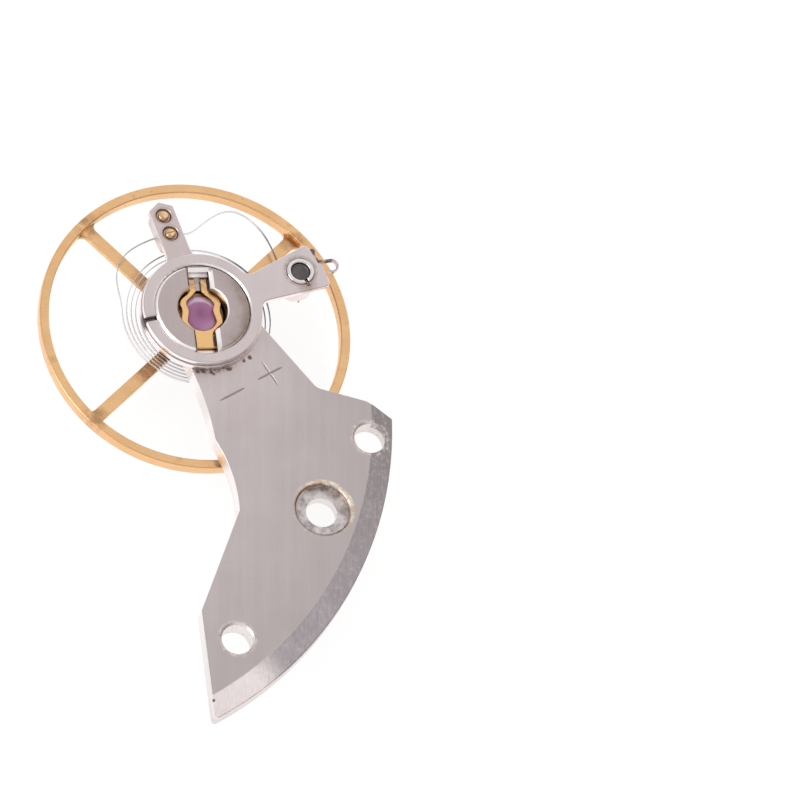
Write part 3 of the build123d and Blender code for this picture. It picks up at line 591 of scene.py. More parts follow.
class Nodes:
    """The shader nodes of a material or of the surroundings, with lengths in millimetres."""

    def __init__(self, owner):
        owner.use_nodes = True
        self.tree = owner.node_tree

    def add(self, kind, sockets, output=0, **settings):
        """A node with its settings and its sockets linked or set. Gives one of its outputs."""
        node = self.tree.nodes.new("ShaderNode" + kind)
        for name, value in settings.items():
            setattr(node, name, value)
        for key, value in sockets.items():
            self.connect(node.inputs[key], value)
        return Value(self, node.outputs[output]) if node.outputs else None

    def connect(self, socket, value):
        """Links a value to a socket, or sets the socket to a constant."""
        if isinstance(value, Value):
            self.tree.links.new(value.socket, socket)
        else:
            socket.default_value = value

    def mix(self, share, first, second):
        """One colour changed into another by a share."""
        first, second = [(*c, 1) if isinstance(c, tuple) else c for c in (first, second)]
        return self.add("Mix", {0: share, 6: first, 7: second}, 2, data_type="RGBA")

    def place(self):
        """The place on the part, in metres."""
        return self.add("TexCoord", {}, "Object")

    def grain(self, size, turn=0.0, detail=4.0, roughness=0.55, seed=0.0):
        """Noise whose features have one size, or one along each of three axes turned about Z."""
        sizes = size if isinstance(size, tuple) else (size,) * 3
        mapped = self.add("Mapping", {"Vector": self.place(), "Rotation": (0, 0, radians(turn)),
                                      "Location": (seed * MM, 0, 0), "Scale": [s * MM for s in sizes]},
                          vector_type="TEXTURE")
        return self.add("TexNoise", {"Vector": mapped, "Scale": 1.0, "Detail": detail,
                                     "Roughness": roughness}, "Fac")

    def far_from(self, middle):
        """The distance from an upright line through a place."""
        flat = self.add("VectorMath", {0: self.place(), 1: (1 / MM, 1 / MM, 0)}, operation="MULTIPLY")
        return self.add("VectorMath", {0: flat, 1: (*middle, 0)}, "Value", operation="DISTANCE")

    def along_line(self, angle):
        """The distance from the balance axis in a level direction."""
        way = (*along(1 / MM, angle), 0)
        return self.add("VectorMath", {0: self.place(), 1: way}, "Value", operation="DOT_PRODUCT")

    def near_ring(self, middle, radius, width):
        """A share that is one on a circle round a place and fades to nothing at a width from it."""
        return self.far_from(middle).near(radius, width, 0.4)

    def spot(self, middle, radius):
        """A share that is one at a place and fades to nothing at a radius from it."""
        return self.far_from(middle).ramp(radius * 0.5, radius, 1.0, 0.0)

    def height(self, low, high):
        """A share that goes from nothing at one height to one at another."""
        return self.add("SeparateXYZ", {0: self.place()}, "Z").ramp(low * MM, high * MM)

    def walls(self):
        """A share that is one on upright walls and nothing on level faces."""
        normal = self.add("NewGeometry", {}, "Normal")
        return self.add("SeparateXYZ", {0: normal}, "Z").math("ABSOLUTE").ramp(0.72, 0.92, 1.0, 0.0)


class Surface(Nodes):
    """A material under way, with its colour and its roughness."""

    def __init__(self, name):
        self.material = bpy.data.materials.new(name)
        super().__init__(self.material)

    def coat(self, share, colour):
        """Changes the colour into another by a share."""
        self.base = self.mix(share, self.base, colour)

    def done(self, **sockets):
        """The material, with its colour, its roughness and what is told on its main shader."""
        main = self.tree.nodes["Principled BSDF"]
        for name, value in {"Base Color": self.base, "Roughness": self.dull, **sockets}.items():
            self.connect(main.inputs[name.replace("_", " ")], value)
        return self.material


def metal(name, colour, shade, roughness, size, turn=0.0, depth=0.0008, blotch=1.4, specks=None, walls=None,
          marks=None):
    """Worked metal: fine lines along one direction, uneven tone, dull specks if asked for, and upright walls
    in a paler colour as a painted highlight if asked for.
    """
    skin = Surface(name)
    fine = skin.grain(size, turn)
    broad = skin.grain(tuple(s * 9 for s in size), turn, detail=2, seed=3.7)
    cloud = skin.grain(blotch, seed=8.1)
    tone = fine.ramp(0.3, 0.7, 0, 0.30) + broad.ramp(0.3, 0.7, 0, 0.35) + cloud.ramp(0.3, 0.7, 0, 0.35)
    skin.base = skin.mix(tone, shade, colour)
    skin.dull = cloud.ramp(0.35, 0.7, roughness + 0.05, roughness - 0.03)
    if specks:
        spots = skin.grain(0.11, detail=3, seed=5.5).ramp(0.70, 0.78)
        skin.coat(spots, specks)
        skin.dull += spots * 0.3
    # Upright walls get a paler colour: a painted highlight.
    if walls:
        skin.coat(skin.walls(), walls)
    if marks:
        marks(skin)
    bump = skin.add("Bump", {"Height": fine, "Distance": depth * MM, "Strength": 1.0})
    return skin.done(Normal=bump, Metallic=1.0)


def cock_marks(skin):
    """Marks on the cock: painted shade towards its outer parts, its rough band in painted shade with a
    painted highlight near the tip, burrs round the holes, painted shade in the grooves and at the foot of the
    regulator ring, and dirt.
    """
    mottle = skin.grain(0.16, detail=5, roughness=0.7, seed=2.2)
    fine = skin.grain(0.07, detail=3, roughness=0.6, seed=6.3)
    smudge = skin.grain(0.28, roughness=0.6, seed=9.4)
    from_centre = skin.far_from(calibre_centre)
    # Painted shade: darker away from the balance axis and near the movement's edge.
    shade = skin.far_from(axis).ramp(2.8, 4.8, 0.0, 0.14) + from_centre.ramp(8.6, 12.0, 0.0, 0.20)
    skin.coat(shade, (0.26, 0.235, 0.23))
    on_band = from_centre.ramp(band_start - 0.01, band_start + 0.03)
    skin.dull += on_band * 0.10
    # The band's colour: painted shade, with a painted highlight near the tip.
    skin.coat(on_band * skin.height(cock_top - 0.3, cock_top - 0.2), band_shade_and_highlight(skin, mottle))
    recess_marks(skin, mottle, smudge)
    for place in dowel_places:
        lip = skin.near_ring(place, dowel_r + 0.04, 0.13)
        skin.coat(lip * mottle.ramp(0.45, 0.6) * 0.8, (0.76, 0.68, 0.64))
        skin.coat(lip * fine.ramp(0.60, 0.70) * 0.7, (0.34, 0.26, 0.22))
    for place, size in dirt_places:
        away = skin.far_from(place) + mottle * 0.22
        patch = away.ramp(size * 0.6 + 0.11, size + 0.11, 1.0, 0.0)
        skin.coat(patch * skin.height(cock_top - 0.12, cock_top - 0.08) * 0.9, (0.12, 0.075, 0.05))
    # Painted shade at the foot of the regulator ring, broken up by noise.
    ring_foot_shade = skin.near_ring(axis, regulator_ring_r + 0.02, 0.14) * skin.spot(ring_foot_shade_place, 0.9)
    skin.coat(ring_foot_shade * fine.ramp(0.42, 0.56) * 0.8, (0.20, 0.13, 0.095))
    # Painted shade in the engraved strokes of the plus and the minus.
    strokes = skin.spot(plus_place, 1.2) | skin.spot(minus_place, 1.2)
    groove = skin.height(cock_top - 0.004, cock_top - 0.012) * strokes
    skin.coat(groove * 0.6, (0.36, 0.32, 0.31))


def band_shade_and_highlight(skin, mottle):
    """The colour of the rough outer band: painted shade along its length, darker away from the tip, with
    streaks and pale flecks, and a painted highlight near the cock's tip.
    """
    streak = skin.grain((1.1, 0.05, 0.05), brush_angle, roughness=0.7, seed=4.4).ramp(0.3, 0.7)
    from_tip = skin.far_from(band_tip)
    near = skin.mix(streak, (0.33, 0.30, 0.315), (0.45, 0.41, 0.425))
    far = skin.mix(streak, (0.24, 0.21, 0.215), (0.32, 0.285, 0.285))
    pale = skin.mix(streak, (0.76, 0.69, 0.685), (0.88, 0.81, 0.805))
    tone = skin.mix(from_tip.ramp(5.0, 12.0), near, far)
    tone = skin.mix(mottle.ramp(0.50, 0.75, 0.0, 0.45), tone, (0.64, 0.60, 0.60))
    return skin.mix((from_tip + mottle * 1.2).ramp(2.7, 3.7, 1.0, 0.0), tone, pale)


def recess_marks(skin, mottle, smudge):
    """The screw's recess has a mottled grey floor, a wall in mottled painted highlight and shade with a dark
    lip, and a worn rim with a painted highlight on its far side.
    """
    floor_z = cock_top - recess_depth
    inside = skin.far_from(screw_place).ramp(recess_r, recess_r + 0.04, 1.0, 0.0)
    tone = skin.mix(smudge.ramp(0.38, 0.62), (0.66, 0.61, 0.60), (0.34, 0.30, 0.29))
    skin.coat(inside * skin.height(floor_z - 0.04, floor_z - 0.01), tone)
    # The wall's pale and dark mottle is painted highlight and shade.
    wall = skin.near_ring(screw_place, recess_r, 0.10) * skin.height(floor_z, floor_z + 0.02)
    skin.coat(wall, skin.mix(mottle.ramp(0.42, 0.58), (0.92, 0.84, 0.80), (0.42, 0.35, 0.31)))
    lip = wall * skin.height(cock_top - 0.10, cock_top - 0.07)
    skin.coat(lip * smudge.ramp(0.3, 0.5, 0.5, 0.95), (0.20, 0.13, 0.10))
    # A painted highlight on the far side of the rim, on top of its wear.
    far_side = skin.spot(along(recess_r, 90, screw_place), 1.5)
    wear_and_highlight = mottle.ramp(0.50, 0.66, 0.0, 0.5) + far_side * mottle.ramp(0.36, 0.50)
    burr = skin.near_ring(screw_place, recess_r + 0.09, 0.10)
    skin.coat(burr * wear_and_highlight, skin.mix(smudge.ramp(0.4, 0.6), (0.86, 0.76, 0.64), (0.62, 0.46, 0.38)))


def block_marks(skin):
    """The shock block has painted shade in its well and a painted dark sheen at its right. Its slots have
    painted shade along their edges and painted highlights at their ends.
    """
    mottle = skin.grain(0.3, seed=1.4)
    from_axis = skin.far_from(axis)
    # Painted shade inside the well.
    in_well = from_axis.ramp(well_r - 0.02, well_r + 0.03, 1.0, 0.0)
    skin.coat(in_well * skin.height(block_top - 0.02, block_top - 0.10) * 0.9, (0.16, 0.09, 0.06))
    # A painted dark sheen on the block's right side, growing away from its centre.
    away = skin.far_from(dark_sheen_centre) + mottle * 0.5
    skin.coat(away.ramp(1.75, 2.30, 0.0, 0.45), (0.30, 0.235, 0.205))
    skin.coat(away.ramp(2.15, 2.50, 0.0, 0.70), (0.24, 0.165, 0.13))
    lengthwise, left = skin.along_line(slot_angle), skin.along_line(slot_angle + 90)
    # Painted highlights at the shelf's end and the tail's end of the slots.
    shelf = lengthwise.near(shelf_end - 0.08, 0.14) * mottle.ramp(0.35, 0.6, 0.9, 0.3)
    pale = (shelf | lengthwise.near(-1.43, 0.16)) * left.near(0.0, slot_half)
    skin.coat(pale * skin.height(block_top - 0.13, block_top - 0.15), (0.90, 0.85, 0.84))
    # Painted shade along the slots' edges, their right walls and the shelf's end.
    right_wall = left.near(-slot_half, 0.03) * skin.height(block_top - 0.12, block_top - 0.14)
    end_line = lengthwise.near(shelf_end + slot_bevel + 0.015, 0.035) * left.near(0.0, slot_half + 0.03)
    lines = left.near(slot_half + 0.02, 0.045) | right_wall | end_line
    skin.coat(lines * from_axis.ramp(well_r + 0.02, well_r + 0.10) * 0.85, (0.17, 0.12, 0.10))


def spring_marks(skin):
    """The spring gets painted shade where it nears the stud and along one side of its outer turn."""
    lead = skin.far_from(stud_place).ramp(1.9, 2.6, 1.0, 0.0)
    side = skin.far_from(dark_turn_place).ramp(0.7, 1.6, 0.7, 0.0)
    outer = skin.far_from(axis).ramp(coil_outer_r, coil_outer_r + 0.08)
    skin.coat((lead | side * outer) * 0.85, (0.12, 0.115, 0.14))


def regulator_marks(skin):
    """The regulator has painted shade where the carrier's slit shows it, and brown painted shade in the
    countersinks round its two heads.
    """
    # Painted shade where the carrier's slit shows the regulator.
    slit_shade = skin.far_from(along(1.74, carrier_slit_angle)).ramp(0.25, 0.40, 0.9, 0.0)
    skin.coat(slit_shade, (0.10, 0.075, 0.07))
    below = skin.height(regulator_top - 0.004, regulator_top - 0.02)
    # Painted shade in the countersinks and round their rims.
    for place in head_places:
        skin.coat(skin.spot(place, 0.6) * below * 0.8, (0.44, 0.33, 0.27))
        skin.coat(skin.near_ring(place, 0.27, 0.07) * 0.35, (0.36, 0.26, 0.21))


def gilt_marks(skin):
    """The lyre's legs have painted shade. The two heads in the lever are dull, with brown painted shade round
    their edges.
    """
    # Painted shade on the lyre's legs, down in the slot.
    legs = skin.spot(along(1.45 * well_r, slot_angle), 0.55)
    skin.coat(legs * skin.grain(0.12, seed=5.1).ramp(0.40, 0.60, 0.1, 0.8), (0.36, 0.25, 0.18))
    for place in head_places:
        head = skin.spot(place, 0.6)
        skin.coat(head * 0.5, (0.70, 0.50, 0.36))
        # Painted shade round the head's edge, down in its countersink.
        edge = skin.far_from(place).ramp(head_r - 0.07, head_r, 0.0, 0.6)
        skin.coat(edge * head, (0.30, 0.17, 0.09))


def carrier_marks(skin):
    """The stud carrier is stained brown beside the collar's slit, and has a mottled brown ring round the
    collar.
    """
    mottle = skin.grain(0.14, seed=3.1)
    away = skin.far_from(collar_stain_place) + mottle * 0.3
    skin.coat(away.ramp(0.22, 0.52, 0.75, 0.0), (0.34, 0.25, 0.18))
    halo = skin.near_ring(stud_place, collar_r + 0.03, 0.12) * mottle.ramp(0.38, 0.56, 0.2, 0.7)
    skin.coat(halo, (0.40, 0.31, 0.25))


def clip_marks(skin):
    """The clip has painted shade at its knob, where it leaves the arm, and at the top of its hook."""
    for place, size, share in ((clip_knob, 0.22, 0.9), (clip_bend, 0.16, 0.85), (clip_hook_top, 0.15, 0.8)):
        skin.coat(skin.spot(turned(place, stud_angle), size) * share, (0.13, 0.085, 0.10))


def stud_marks(skin):
    """Only the stud's top is dark. Below the carrier it is bright."""
    body = skin.height(carrier_low + 0.01, carrier_low - 0.01)
    skin.coat(body, (0.80, 0.70, 0.68))
    skin.dull = body.ramp(0, 1, 0.42, 0.25)


def wheel_marks(skin):
    """The wheel has painted shade near its middle, under the cock, brown patches at its arms' roots, and
    tarnish here and there.
    """
    mottle = skin.grain(0.5, detail=5, seed=7.7)
    # Painted shade near the middle, where the cock and regulator cover the wheel.
    middle = skin.far_from(axis).ramp(2.0, 3.0, 1.0, 0.0)
    skin.coat(middle * mottle.ramp(0.3, 0.6) * 0.75, (0.36, 0.19, 0.10))
    for angle in arm_angles:
        root = skin.spot(along(rim_inner_r, angle), 0.55)
        skin.coat(root * mottle.ramp(0.38, 0.56) * 0.7, (0.34, 0.18, 0.09))
    skin.coat(mottle.ramp(0.60, 0.75) * 0.5, (0.52, 0.27, 0.12))
    skin.coat(skin.grain(0.12, seed=0.6).ramp(0.66, 0.74) * 0.7, (0.22, 0.10, 0.045))


short_lines = (0.2, 0.05, 0.05)
satin_lines = (0.25, 0.05, 0.05)
nickel = metal("brushed_nickel", (0.627, 0.557, 0.553), (0.535, 0.469, 0.465), 0.34, (1.6, 0.03, 0.05),
               brush_angle, depth=0.0015, specks=(0.46, 0.41, 0.40), walls=(0.93, 0.88, 0.87),
               marks=cock_marks)
satin = metal("satin_steel", (0.64, 0.555, 0.55), (0.56, 0.48, 0.475), 0.30, satin_lines, brush_angle,
              walls=(0.90, 0.84, 0.84), marks=regulator_marks)
carrier_steel = metal("carrier_steel", (0.675, 0.592, 0.597), (0.59, 0.515, 0.52), 0.30, satin_lines,
                      brush_angle, walls=(0.92, 0.87, 0.87), marks=carrier_marks)
turned_steel = metal("turned_steel", (0.540, 0.455, 0.450), (0.45, 0.378, 0.374), 0.27, (0.3, 0.06, 0.06),
                     brush_angle, walls=(0.92, 0.88, 0.87), marks=block_marks)
polished = metal("polished_steel", (0.82, 0.78, 0.78), (0.72, 0.68, 0.68), 0.13, short_lines, depth=0.0003)
strip = metal("spring_strip", (0.68, 0.62, 0.61), (0.42, 0.35, 0.355), 0.20, short_lines, depth=0.0004,
              blotch=0.3, marks=clip_marks)
dark = metal("dark_steel", (0.16, 0.14, 0.142), (0.085, 0.074, 0.076), 0.42, (0.08, 0.05, 0.05),
             depth=0.003, blotch=0.15, marks=stud_marks)
spring_steel = metal("spring_alloy", (0.80, 0.77, 0.78), (0.66, 0.63, 0.64), 0.25, (0.5, 0.05, 0.05),
                     depth=0.0002, marks=spring_marks)
gilt = metal("gilt", (0.91, 0.58, 0.27), (0.80, 0.47, 0.20), 0.24, short_lines, turn=36, marks=gilt_marks)
wheel_gold = metal("gilt_alloy", (0.87, 0.55, 0.29), (0.72, 0.42, 0.20), 0.28, satin_lines, turn=30,
                   depth=0.001, marks=wheel_marks)
# The brass colour is darkened: painted shade, as for the setting down in the well.
shaded_brass = metal("turned_brass_shaded", (0.36, 0.21, 0.12), (0.22, 0.12, 0.07), 0.42, short_lines)


def ruby():
    """Polished synthetic ruby: violet, with painted shade in the middle, a paler painted edge, and a painted
    pink highlight at its far edge.
    """
    skin = Surface("ruby")
    cloud = skin.grain(0.5, detail=3)
    from_axis = skin.far_from(axis)
    skin.base = skin.mix(cloud.ramp(0.3, 0.7), (0.44, 0.105, 0.335), (0.56, 0.165, 0.44))
    # Painted shade in the middle and a paler painted edge.
    skin.coat(from_axis.ramp(0.0, 0.30, 0.75, 0.0), (0.19, 0.06, 0.14))
    skin.coat(from_axis.ramp(0.34, 0.52, 0.0, 0.40), (0.68, 0.38, 0.60))
    # A painted pink highlight at the far edge.
    gleam_angle = slot_angle - 4
    past_middle = skin.far_from(along(-0.06, gleam_angle)).ramp(0.46, 0.52)
    skin.coat(skin.spot(along(0.24, gleam_angle), 0.58) * past_middle, (1.0, 0.70, 0.96))
    skin.dull = cloud.ramp(0.3, 0.7, 0.04, 0.10)
    return skin.done(IOR=1.77, Transmission_Weight=0.35)


jewel = ruby()

# Balance cock


def circle_exit(start, towards, radius):
    """Where the line from a start towards a point leaves a circle about the balance axis."""
    way = Vector((towards[0] - start[0], towards[1] - start[1])).normalized()
    offset = start[0] * way.y - start[1] * way.x
    reach = sqrt(radius**2 - offset**2)
    return (offset * way.y + reach * way.x, reach * way.y - offset * way.x)


def cock_outline():
    """The bridge's outline: a round end about the shock block, and the movement's edge at the right."""
    end_r = 1.60
    neck_left, shoulder = cock_point(0.0727, -0.1568), cock_point(0.3411, -0.0042)
    enter = circle_exit(cock_point(0.0862, 0.0826), shoulder, end_r)
    leave = circle_exit(cock_point(-0.0234, -0.0815), neck_left, end_r)
    around = along(end_r, (direction(enter) + direction(leave) + 360) / 2)
    arc_top = along(calibre_radius, 31.5, calibre_centre)
    arc_middle = along(calibre_radius, 2.45, calibre_centre)
    return loop([
        (enter, 0.02), (shoulder, 0.45), (cock_point(0.4626, 0.0369), 0.45), (arc_top, 0.05, arc_middle),
        (band_tip, 0.12), (cock_point(0.4071, -0.7020), 0.30),
        (cock_point(0.3489, -0.4097), 0.12, cock_point(0.2705, -0.3230)),
        (cock_point(0.2041, -0.2793), 0.12, cock_point(0.1350, -0.2072)), (neck_left, 0.02),
        (leave, 0.02, around)])


def band_cutter():
    """What is taken off over the sloping outer band, with both edges of the slope eased."""
    wall_ease, slope = 0.03, bevel_drop / bevel_run
    low, above = cock_top - bevel_drop, cock_top + overrun
    return lathe("band", (
        (band_start - wall_ease / 2, cock_top),
        (band_start + wall_ease / 2, cock_top - slope * wall_ease / 2),
        (calibre_radius - wall_ease, low), (calibre_radius, low - wall_ease),
        (calibre_radius + overrun, low - wall_ease), (calibre_radius + overrun, above),
        (band_start - overrun, above), (band_start - overrun * 0.2, cock_top + overrun * 0.2 * slope)),
        middle=calibre_centre, rounding=0, steps=480)


def sunk_hole(name, place, radius, depth, chamfer):
    """A cutter for a round hole down from the cock's top, with a chamfered rim."""
    floor_z, above = cock_top - depth, cock_top + overrun
    return lathe(name, ((0, floor_z), (radius, floor_z), (radius, cock_top - chamfer),
                        (radius + chamfer + overrun, above), (0, above)), middle=place, rounding=0)


def cock_plate():
    """The flat bridge with its sloping outer band, holes, engraved marks and relief."""
    holes = [ring(seat_r), ring(screw_r, screw_place)] + [ring(dowel_r, place) for place in dowel_places]
    body = plate("cock_plate", [cock_outline()] + holes, cock_z, cock_top, rounding=0.03)
    recess = sunk_hole("recess", screw_place, recess_r, recess_depth, 0.05)
    relief = drum("relief", 0, relief_r, cock_z - overrun, cock_z + relief_depth, rounding=0, steps=256)
    mouths = [sunk_hole("mouth", place, dowel_r, 0.06, 0.06) for place in dowel_places]
    strokes = ((plus_place, mark_turn), (plus_place, mark_turn + 90), (minus_place, mark_turn))
    marks = [groove_cutter("mark", place, turn) for place, turn in strokes]
    return cut(body, band_cutter(), recess, relief, *mouths, *marks)


finished(cock_plate(), ["balance_cock"], "cock", nickel, tilt=13)

# Shock block and its jewels


def slot_section(half, floor_z, right, left):
    """The section of a slot in the shock block, with a bevel along each upper edge."""
    above = block_top + overrun
    return ((-half, floor_z), (half, floor_z), (half, block_top - left), (half + left + overrun, above),
            (-half - right - overrun, above), (-half, block_top - right))


def shock_block():
    """The turned body with its well and the two slots for the lyre."""
    rim, lip, throat_r, cone_r, seat_z = 0.09, 0.05, 0.40, 0.53, setting_z + cone_h
    body = lathe("block_body", (
        (throat_r, cock_z), (seat_r, cock_z), (seat_r, cock_top), (block_r, cock_top),
        (block_r, block_top - rim), (block_r - rim, block_top), (well_r + lip, block_top),
        (well_r, block_top - lip), (well_r, seat_z), (setting_r + running_gap, seat_z),
        (cone_r, setting_z), (throat_r, setting_z)), rounding=0.012, steps=192)
    narrow, wide, above, overlap = 0.04, slot_bevel, block_top + overrun, 0.02
    pocket_radii, pocket_half = (0.07, 0.07), 0.46
    shelf_section = slot_section(slot_half, block_top - 0.20, wide, narrow)
    shelf = slot_cutter("shelf", shelf_section, 0, shelf_end, slot_angle)
    far_bevel = slot_cutter("far_bevel", (
        (overlap - shelf_end, block_top - wide), (-shelf_end, block_top - wide),
        (-shelf_end - wide - overrun, above), (overlap - shelf_end, above)),
        0.001 - slot_half, slot_half - 0.001, slot_angle + 90)
    legs_section = slot_section(slot_half - 0.002, slot_floor, wide, narrow)
    legs = slot_cutter("legs", legs_section, 0, 1.475 * well_r, slot_angle)
    tail_section = slot_section(slot_half, slot_floor, narrow, wide)
    tail = slot_cutter("tail", tail_section, 0, block_r + overrun, slot_angle + 180)
    pocket = rod("pocket", hinge_place, slot_angle + 90, lyre_mid, pocket_radii, pocket_half, rounding=0)
    return cut(body, shelf, far_bevel, legs, tail, pocket)


def setting_cup():
    """The small cup that holds both jewels, with its conical foot."""
    bore, ledge, cone_r, rim_z = 0.28, hole_jewel_r, 0.52, top("jewel_setting")
    return lathe("setting_cup", (
        (bore, setting_z), (cone_r, setting_z), (setting_r, setting_z + cone_h), (setting_r, rim_z),
        (cap_jewel_r, rim_z), (cap_jewel_r, cap_z), (ledge, cap_z), (ledge, hole_jewel_z),
        (bore, hole_jewel_z)), rounding=0.012)


def jewel_ring():
    """The ruby ring for the upper pivot, with its oil sink."""
    bore, sink_r, sink_depth, rim_z = 0.058, 0.277, 0.053, top("hole_jewel")
    return lathe("jewel_ring", (
        (bore, hole_jewel_z), (hole_jewel_r, hole_jewel_z), (hole_jewel_r, rim_z), (sink_r, rim_z),
        (bore, rim_z - sink_depth)), rounding=0.008, steps=96)


def cap_jewel():
    """The cap jewel: flat below, a narrow bevel, and a dome above."""
    edge_z, dome = cap_z + 0.14, 0.08
    dome_r = (cap_jewel_r**2 + dome**2) / (2 * dome)
    reaches = [cap_jewel_r * i / 10 for i in range(10, -1, -1)]
    rise = [(reach, edge_z + sqrt(dome_r**2 - reach**2) - dome_r + dome) for reach in reaches]
    return lathe("jewel_cap", [(0, cap_z), (cap_jewel_r, cap_z)] + rise, rounding=0.01)


finished(shock_block(), ["shock_block"], "cock", turned_steel)
finished(setting_cup(), ["jewel_setting"], "cock", shaded_brass)
finished(jewel_ring(), ["hole_jewel"], "cock", jewel)
finished(cap_jewel(), ["cap_jewel"], "cock", jewel)

# Lyre spring


def lyre():
    """The flat spring with its two legs and the round bar at the end of its tail."""
    leg_share, tail_share, bar_share = 1.45, 1.581, 0.55
    outer = smooth_run(lyre_outer_shares) + [(leg_share, lyre_outer_shares[-1][1])]
    inner = smooth_run(lyre_inner_shares) + [(leg_share, lyre_inner_shares[-1][1])]
    half = [(-tail_share, outer[0][1])] + outer + inner[::-1]
    points = half + [(x, -y) for x, y in half[::-1]][1:]
    points = turned_points([(x * well_r, y * well_r) for x, y in points], slot_angle)
    body = plate("lyre_spring", [points], lyre_low, lyre_low + 0.08, rounding=0.018)
    bar = rod("bar", hinge_place, slot_angle + 90, lyre_mid, (0.05, 0.05), bar_share * well_r, rounding=0.012)
    return fused(body, bar)


finished(lyre(), ["shock_spring"], "shock_spring", gilt)

# Regulator with its pin and boot


def lever_block(name, start, end, half, corner, low, high, rounding):
    """A block that lies along the lever, with rounded corners."""
    corners = ((start, -half), (end, -half), (end, half), (start, half))
    outline = loop([(point, corner) for point in corners])
    return plate(name, [turned_points(outline, lever_angle)], low, high, rounding)


def head_sink(place, shank):
    """A cutter for a shank's hole and the countersink of its head."""
    low, above, floor_z = regulator_foot - overrun, regulator_top + overrun, regulator_top - 0.07
    floor_r, rim_r = head_r + 0.04, head_r + 0.06
    return lathe("sink", (
        (0, low), (shank, low), (shank, floor_z), (floor_r, floor_z), (rim_r, regulator_top - 0.03),
        (rim_r + 0.04 + overrun, above), (0, above)), middle=place, rounding=0, steps=64)


def regulator():
    """The ring with its gabled lever, countersinks for the two heads, and the pad under the lever."""
    root_x = sqrt(regulator_ring_r**2 - lever_half_w**2)
    shoulder, tip = pin_reach + 0.26, pin_reach + 0.50
    outline = loop([
        ((root_x, -lever_half_w), 0.25), ((shoulder, -lever_half_w), 0.10), ((tip, 0), 0.08),
        ((shoulder, lever_half_w), 0.08), ((root_x, lever_half_w), 0.25, (-regulator_ring_r, 0))])
    body = plate("regulator_lever", [turned_points(outline, lever_angle), ring(bore_r)],
                 regulator_low, regulator_top, rounding=0.025)
    pad = lever_block("pad", boot_reach - 0.38, pin_reach + 0.24, lever_half_w * 0.995, 0.205,
                      regulator_foot, regulator_low + 0.05, rounding=0.02)
    sinks = [head_sink(head_places[0], pin_shank_r), head_sink(head_places[1], boot_shank_r + running_gap)]
    return cut(fused(body, pad), *sinks)


def headed_pin(name, place, shank_r, low):
    """A round shank with a domed head."""
    head_z, shoulder, dome_h = regulator_top - 0.06, regulator_top - 0.02, 0.08
    dome = [(head_r * cos(pi / 2 * i / 8), shoulder + dome_h * sin(pi / 2 * i / 8)) for i in range(8)]
    shank = [(0, low), (shank_r, low), (shank_r, head_z), (head_r, head_z)]
    return lathe(name, shank + dome + [(0, shoulder + dome_h)], middle=place, rounding=0.006, steps=64)


def boot():
    """The turning key: its head has a slot, and its foot a blade beside the spring and a lip under it."""
    low, above = bottom("regulator_boot"), regulator_top + overrun
    blade_half, blade_end, lip_start, lip_end = 0.12, 3.12, 3.05, 3.32
    body = headed_pin("boot_key", head_places[1], boot_shank_r, low)
    blade = lever_block("blade", boot_reach, blade_end, blade_half, 0.02, low + 0.001,
                        regulator_foot - running_gap, rounding=0.012)
    lip = lever_block("lip", lip_start, lip_end, blade_half - 0.002, 0.03, low, low + 0.05, rounding=0.012)
    notch_z = regulator_top + 0.01
    notch = slot_cutter("notch", ((-0.025, notch_z), (0.025, notch_z), (0.04, above), (-0.04, above)),
                        -0.3, 0.3, lever_angle + 90)
    notch.data.transform(Matrix.Translation((*head_places[1], 0)))
    return cut(fused(body, blade, lip), notch)


finished(regulator(), ["regulator"], "regulator", satin)
curb_pin = headed_pin("curb_pin", head_places[0], pin_shank_r, bottom("regulator_pin"))
finished(curb_pin, ["regulator_pin"], "regulator", gilt)
finished(boot(), ["regulator_boot"], "regulator_boot", gilt)

# Stud carrier and what it holds


def half_angle(width, radius):
    """Half the angle that a width takes up on a circle."""
    return degrees(asin(width / 2 / radius))


def keyhole(radius, slit_w, reach, angle):
    """A round hole with a slit that runs out from it."""
    open_angle = half_angle(slit_w, radius)
    points = arc(radius, open_angle, 360 - open_angle) + [(reach, -slit_w / 2), (reach, slit_w / 2)]
    return turned_points(points, angle)


def split_ring(outer, inner, slit_w, angle):
    """The outline of a ring with an open slit."""
    wide, narrow = half_angle(slit_w, outer), half_angle(slit_w, inner)
    return turned_points(arc(outer, wide, 360 - wide) + arc(inner, 360 - narrow, narrow), angle)


